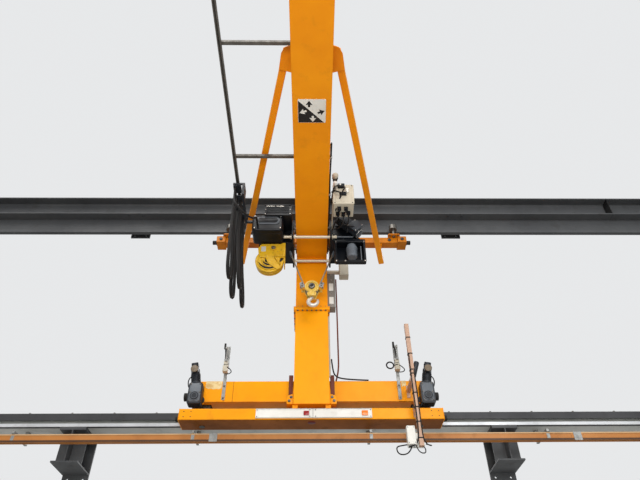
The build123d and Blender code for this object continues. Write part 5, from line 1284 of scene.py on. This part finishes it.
pole = {
    "x": 1.170, "y": -0.870, "tie": 0.058, "tieZs": (-0.120, 0.060, 0.230, 0.400, 0.640, 0.690, 0.900, 1.120),
    "boxX": 1.067, "boxFront": -0.914, "boxZ": -0.089, "boxLid": (0.086, 0.196, 0.010, 0.008, 0.002),
    "screw": 0.004, "screwX": 0.034, "screwZ": 0.084, "glandX": 0.026,
}


def addPoleTrim():
    x, y, boxX = pole["x"], pole["y"], pole["boxX"]
    ties = [addPanel("z", at(x, y, z), pole["tie"], pole["tie"], 0.008, 0.012, 0) for z in pole["tieZs"]]
    finishPiece(join(ties), "poleTies", "rubberBlack", "crane")
    runs = [
        addHose([(x - 0.020, y - 0.030, 0.90), (x - 0.024, y - 0.032, 0.55), (x - 0.018, y - 0.031, 0.20),
                 (x - 0.020, y - 0.030, -0.10), (x - 0.060, y - 0.030, -0.20),
                 (x - 0.140, y - 0.010, -0.21)], 0.007),
        addHose([(x + 0.018, y - 0.030, 0.68), (x + 0.022, y - 0.031, 0.30), (x + 0.016, y - 0.031, -0.12),
                 (x + 0.060, y - 0.030, -0.20), (x + 0.140, y + 0.060, -0.17),
                 (x + 0.095, y + 0.220, -0.090)], 0.006),
        addHose([(x - 0.100, y, -0.186), (x - 0.130, y, -0.275), (x - 0.250, y + 0.010, -0.290),
                 (x - 0.270, y + 0.060, -0.180), (x - 0.160, y + 0.200, -0.110),
                 (x - 0.090, y + 0.280, -0.070)], 0.007),
        addHose([(x - 0.060, y, -0.186), (x - 0.040, y, -0.262), (x + 0.040, y + 0.020, -0.270),
                 (x + 0.070, y + 0.160, -0.150), (x + 0.060, y + 0.280, -0.080)], 0.006),
    ]
    finishPiece(join(runs), "poleCables", "rubberBlack", "crane")
    lid = addPanel("y", at(boxX, pole["boxFront"], pole["boxZ"]), *pole["boxLid"])
    finishPiece(lid, "collectorBoxLid", "signWhite", "crane")
    spots = [(boxX + dx, pole["boxFront"], pole["boxZ"] + dz) for dx in (-pole["screwX"], pole["screwX"])
             for dz in (-pole["screwZ"], pole["screwZ"])]
    finishPiece(addBolts("y", spots, pole["screw"]), "collectorBoxScrews", "galvanised", "crane")
    glands = [addBarrel("z", at(boxX + side * pole["glandX"], -0.875, -0.200), 0.011, 0.024, 14)
              for side in (-1, 1)]
    finishPiece(join(glands), "collectorGlands", "galvanised", "crane")


for side in (-1, 1):
    addGearboxTrim(side)
    addDriveMotorTrim(side)
    addSwitchTrim(side)
addPoleTrim()
print("drives, switches and pole dressed")


# Crane: beams, carriage and cables

# web is the face of the wheel beam, guide that of the beam below it; flakes are outlines of loose paint
beam = {
    "webFront": -0.4712, "webBack": -0.4701, "right": 1.440, "guideFace": -0.7345, "guideEnd": 1.490,
    "endPlate": 0.006, "flakeDepth": 0.0009, "gussetFront": -0.480,
    "gusset": ((1.130, 0.498), (1.050, 0.498), (1.110, 0.560)),
    "leftFlake": ((-1.285, 0.768), (-1.092, 0.768), (-1.086, 0.720), (-1.096, 0.672), (-1.128, 0.662),
                  (-1.150, 0.668), (-1.190, 0.660), (-1.226, 0.672), (-1.250, 0.666), (-1.288, 0.684)),
    "rightFlake": ((1.098, 0.768), (1.150, 0.768), (1.158, 0.726), (1.140, 0.690), (1.120, 0.700),
                   (1.100, 0.684)),
}


def addBeamTrim():
    front, back, right = beam["webFront"], beam["webBack"], beam["right"]
    # black discs stand for holes near the guide beam's ends: painted shade for their dark insides
    holes = [addBarrel("y", at(x, beam["guideFace"], z), 0.006, 0.003, 12)
             for x in (-right, -1.36, 1.36, right) for z in (0.200, 0.262)]
    finishPiece(join(holes), "beamHoleShade", "signBlack", "crane")
    seams = [addBlock(at(-0.952, front, 0.500), at(-0.947, back, 0.766)),
             addBlock(at(-right, front, 0.495), at(right, back, 0.500))]
    finishPiece(join(seams), "beamSeams", "seamAndShadeYellow", "crane")
    starts = (-beam["guideEnd"] - beam["endPlate"], beam["guideEnd"])
    plates = [addPanel("x", at(x, -0.598, 0.230), 0.276, 0.140, 0.012, beam["endPlate"]) for x in starts]
    finishPiece(join(plates), "guideBeamEnds", "craneYellow", "crane")
    # a thin darker sheet under the guide beam: painted shade on its underside
    under = addBlock(at(-1.4895, -0.7335, 0.1612), at(1.4895, -0.4625, 0.1624))
    finishPiece(under, "beamUndersideShade", "seamAndShadeYellow", "crane")
    gussets = [addOutline([at(side * x, beam["gussetFront"], z) for x, z in beam["gusset"]], (0, 0.009, 0))
               for side in (-1, 1)]
    finishPiece(join(gussets), "beamGussets", "craneYellow", "crane")
    flakes = [addOutline([at(x, front, z) for x, z in outline], (0, beam["flakeDepth"], 0))
              for outline in (beam["leftFlake"], beam["rightFlake"])]
    finishPiece(join(flakes), "flakyPatches", "flakyCream", "crane")


carriage = {
    "pinSpots": ((1.180, -0.385, 3.150), (1.370, -0.415, 3.145)),
    "pin": [(0.014, 0), (0.024, 0.002), (0.026, 0.006), (0.026, 0.016)],
    "yokeX": 1.250, "yokeZ": 3.200, "bolt": 0.009,
}


def addCarriageTrim():
    pins = [addTurned("y", at(side * x, y - 0.014, z), carriage["pin"], 24)
            for x, y, z in carriage["pinSpots"] for side in (-1, 1)]
    finishPiece(join([smoothRound(pin) for pin in pins]), "carriagePins", "driveGrey", "crane")
    spots = [(side * carriage["yokeX"] + dx, y, carriage["yokeZ"])
             for side in (-1, 1) for dx in (-0.060, 0.060) for y in (-0.440, -0.200)]
    finishPiece(addBolts("z", spots, carriage["bolt"]), "yokeBolts", "rollerSteel", "crane")


jibRun = {
    "starts": ((0.218, 2.566), (0.226, 2.578), (0.222, 2.594)), "y": -2.70, "step": 0.24, "knots": 9,
    "swayX": 0.003, "swayZ": 0.006, "radius": 0.0065, "clipYs": (-2.5, -1.9, -1.3),
}
trunk = {
    "x": 0.262, "front": -0.654, "screwZs": (1.760, 1.950, 2.180, 2.270),
    "plates": ((1.840, 0.110), (2.060, 0.120)),  # height and length
    "conduit": [(0.340, -0.430, 2.360), (0.342, -0.430, 1.900), (0.340, -0.430, 1.200),
                (0.338, -0.440, 0.900), (0.300, -0.450, 0.780)],
    "cable": [(0.248, -0.500, 1.050), (0.262, -0.520, 0.860), (0.300, -0.520, 0.800), (0.360, -0.500, 0.785),
              (0.520, -0.480, 0.778), (0.700, -0.470, 0.776)],
}


def addJibCables():
    runs = []
    for i, (x, z) in enumerate(jibRun["starts"]):
        knots = [(x + jibRun["swayX"] * sin(1.7 * k + i), jibRun["y"] + jibRun["step"] * k,
                  z + jibRun["swayZ"] * cos(2.1 * k + i)) for k in range(jibRun["knots"])]
        runs.append(addHose(knots, jibRun["radius"]))
    finishPiece(join(runs), "jibCables", "rubberBlack", "crane")
    clips = [addBlock(at(0.208, y - 0.012, 2.556), at(0.238, y + 0.012, 2.606)) for y in jibRun["clipYs"]]
    finishPiece(roundEdges(join(clips), 0.003), "jibCableClips", "galvanised", "crane")


def addPostCables():
    finishPiece(addHose(trunk["conduit"], 0.010), "postConduit", "gussetBrown", "crane")
    finishPiece(addHose(trunk["cable"], 0.009), "postCable", "rubberBlack", "crane")
    duct = addBlock(at(0.206, trunk["front"], 1.738), at(0.316, -0.516, 2.292))
    finishPiece(roundEdges(duct, 0.004), "postTrunking", "trunkGrey", "crane")
    plates = [addPanel("y", at(trunk["x"], trunk["front"] - 0.006, z), 0.060, height, 0.006, 0.008, 0.002)
              for z, height in trunk["plates"]]
    finishPiece(join(plates), "trunkPlates", "signWhite", "crane")
    spots = [(trunk["x"], trunk["front"], z) for z in trunk["screwZs"]]
    finishPiece(addBolts("y", spots, 0.006), "trunkScrews", "brightRod", "crane")


addBeamTrim()
addCarriageTrim()
addJibCables()
addPostCables()
print("beams and cables dressed")


# Runway: conductor edges, rail clips, girder bolts and joints, all counted from the frame's own zero

runway = {
    "left": -5.300, "right": 10.300, "shadeIn": 0.010, "conductorFace": -0.6036,
    "clips": 31, "clipStart": -5.10, "clipPitch": 0.50, "clipYs": (-0.360, -0.280), "clipZ": 0.404,
    "sleeves": 4, "sleeveStart": -2.45, "sleevePitch": 4.1, "seams": (-2.500, 2.500, 7.500),
    "brackets": (-5.0, 0.0, 5.0, 10.0), "boltX": 0.110, "boltYs": (-0.430, -0.210), "boltZ": 3.625,
    "clip": 0.012, "bolt": 0.016, "sleeve": (0.090, 0.096, 0.004, 0.004, 0),
}


def addRunwayTrim():
    left, right, face = runway["left"], runway["right"], runway["conductorFace"]
    edge = addBlock((left, -0.6048, -0.030), (right, face, -0.008))
    finishPiece(edge, "conductorEdge", "conductorDark", "runway")
    lip = addBlock((left, -0.6046, 0.046), (right, face, 0.060))
    finishPiece(lip, "conductorLip", "conductorPale", "runway")
    spots = [(runway["clipStart"] + runway["clipPitch"] * i, y, runway["clipZ"])
             for i in range(runway["clips"]) for y in runway["clipYs"]]
    finishPiece(addBolts("z", spots, runway["clip"], 1, 0), "railClips", "rollerSteel", "runway")
    left, right = left + runway["shadeIn"], right - runway["shadeIn"]
    web = addBlock((left, -0.4113, 0.306), (right, -0.4101, 0.388))
    bar = addBlock((left, -0.4490, 0.2086), (right, -0.4110, 0.2098))
    finishPiece(join([web, bar]), "girderShade", "girderDark", "runway")
    middles = [runway["sleeveStart"] + runway["sleevePitch"] * i for i in range(runway["sleeves"])]
    covers = [addPanel("y", (x, -0.6085, 0.015), *runway["sleeve"]) for x in middles]
    finishPiece(join(covers), "sleeveCovers", "galvanised", "runway")
    seams = [addBlock((x - 0.002, -0.4706, 3.624), (x + 0.002, -0.1694, 3.976)) for x in runway["seams"]]
    finishPiece(join(seams), "girderSeams", "signBlack", "runway")
    spots = [(x + side * runway["boltX"], y, runway["boltZ"])
             for x in runway["brackets"] for side in (-1, 1) for y in runway["boltYs"]]
    bolts = addBolts("z", spots, runway["bolt"], -1, 0)
    finishPiece(bolts, "girderBolts", "girderDark", "runway")


addRunwayTrim()
print("runway dressed")


# Floor, light and background

room = {
    "floorSize": 160, "floorPlace": (2.5, -6, -4.1), "floorColour": (214, 213, 210), "floorRough": 0.8,
    "floorSeen": (0.66, 0.67, 0.68, 1), "floorShare": 0.6,
    "light": (0.9, 0.95, 1.0, 1), "lightStrength": 0.42, "seen": (0.80, 0.81, 0.82, 1),
}


def addStage():
    clearSelection()
    bpy.ops.mesh.primitive_plane_add(size=room["floorSize"], location=room["floorPlace"])
    floor = bpy.context.object
    floor.name = "floor"
    material = bpy.data.materials.new("floorPale")
    material.use_nodes = True
    tree = material.node_tree
    shader = tree.nodes["Principled BSDF"]
    shader.inputs["Base Color"].default_value = tone(*room["floorColour"])
    shader.inputs["Roughness"].default_value = room["floorRough"]
    pale = addNode(tree, "ShaderNodeEmission", {"Color": room["floorSeen"], "Strength": 1.0})
    ray = addNode(tree, "ShaderNodeLightPath")
    share = addMath(tree, "MULTIPLY", ray.outputs["Is Camera Ray"], room["floorShare"])
    mix = addNode(tree, "ShaderNodeMixShader", {0: share, 1: shader.outputs[0], 2: pale.outputs[0]})
    tree.links.new(mix.outputs[0], tree.nodes["Material Output"].inputs["Surface"])
    floor.data.materials.append(material)


def addWorld():  # what is seen behind the crane is paler than the light that it gives
    world = bpy.data.worlds.new("paleRoom")
    bpy.context.scene.world = world
    world.use_nodes = True
    tree = world.node_tree
    light = tree.nodes["Background"]
    light.inputs["Color"].default_value = room["light"]
    light.inputs["Strength"].default_value = room["lightStrength"]
    seen = addNode(tree, "ShaderNodeBackground", {"Color": room["seen"], "Strength": 1.0})
    ray = addNode(tree, "ShaderNodeLightPath").outputs
    direct = addMath(tree, "MAXIMUM", ray["Is Camera Ray"], ray["Is Glossy Ray"])
    plain = addMath(tree, "MAXIMUM", direct, ray["Is Transmission Ray"])
    mix = addNode(tree, "ShaderNodeMixShader", {0: plain, 1: light.outputs[0], 2: seen.outputs[0]})
    tree.links.new(mix.outputs[0], tree.nodes["World Output"].inputs["Surface"])


# Each lamp: its place, what it points at, its size, power, colour and how far it spreads
lamps = {
    "roofLight": ((0.0, -7.0, 11.0), (2.75, -2.0, 1.0), 9, 1000, (1.0, 0.98, 0.95), radians(180)),
    "hallLight": ((6.5, -13.0, 4.0), (2.75, -1.0, 1.0), 8, 900, (0.96, 0.98, 1.0), radians(180)),
    "floorLight": ((2.0, -12.0, -2.0), (2.75, -5.0, 2.5), 3.6, 190, (1.0, 0.97, 0.93), radians(100)),
    "backLight": ((5.0, 9.0, 7.0), (2.75, -1.0, 1.5), 8, 500, (1, 1, 1), radians(180)),
}


def addLamp(name, place, target, size, power, colour, spreadAngle):
    data = bpy.data.lights.new(name, "AREA")
    data.spread = spreadAngle
    data.shape = "DISK"
    data.size = size
    data.energy = power
    data.color = colour
    lamp = bpy.data.objects.new(name, data)
    lamp.location = place
    lamp.rotation_euler = (Vector(target) - Vector(place)).to_track_quat("-Z", "Y").to_euler()
    bpy.context.scene.collection.objects.link(lamp)


addStage()
addWorld()
for name, setting in lamps.items():
    addLamp(name, *setting)
bpy.context.scene.view_settings.view_transform = "Standard"
print("stage and light set")
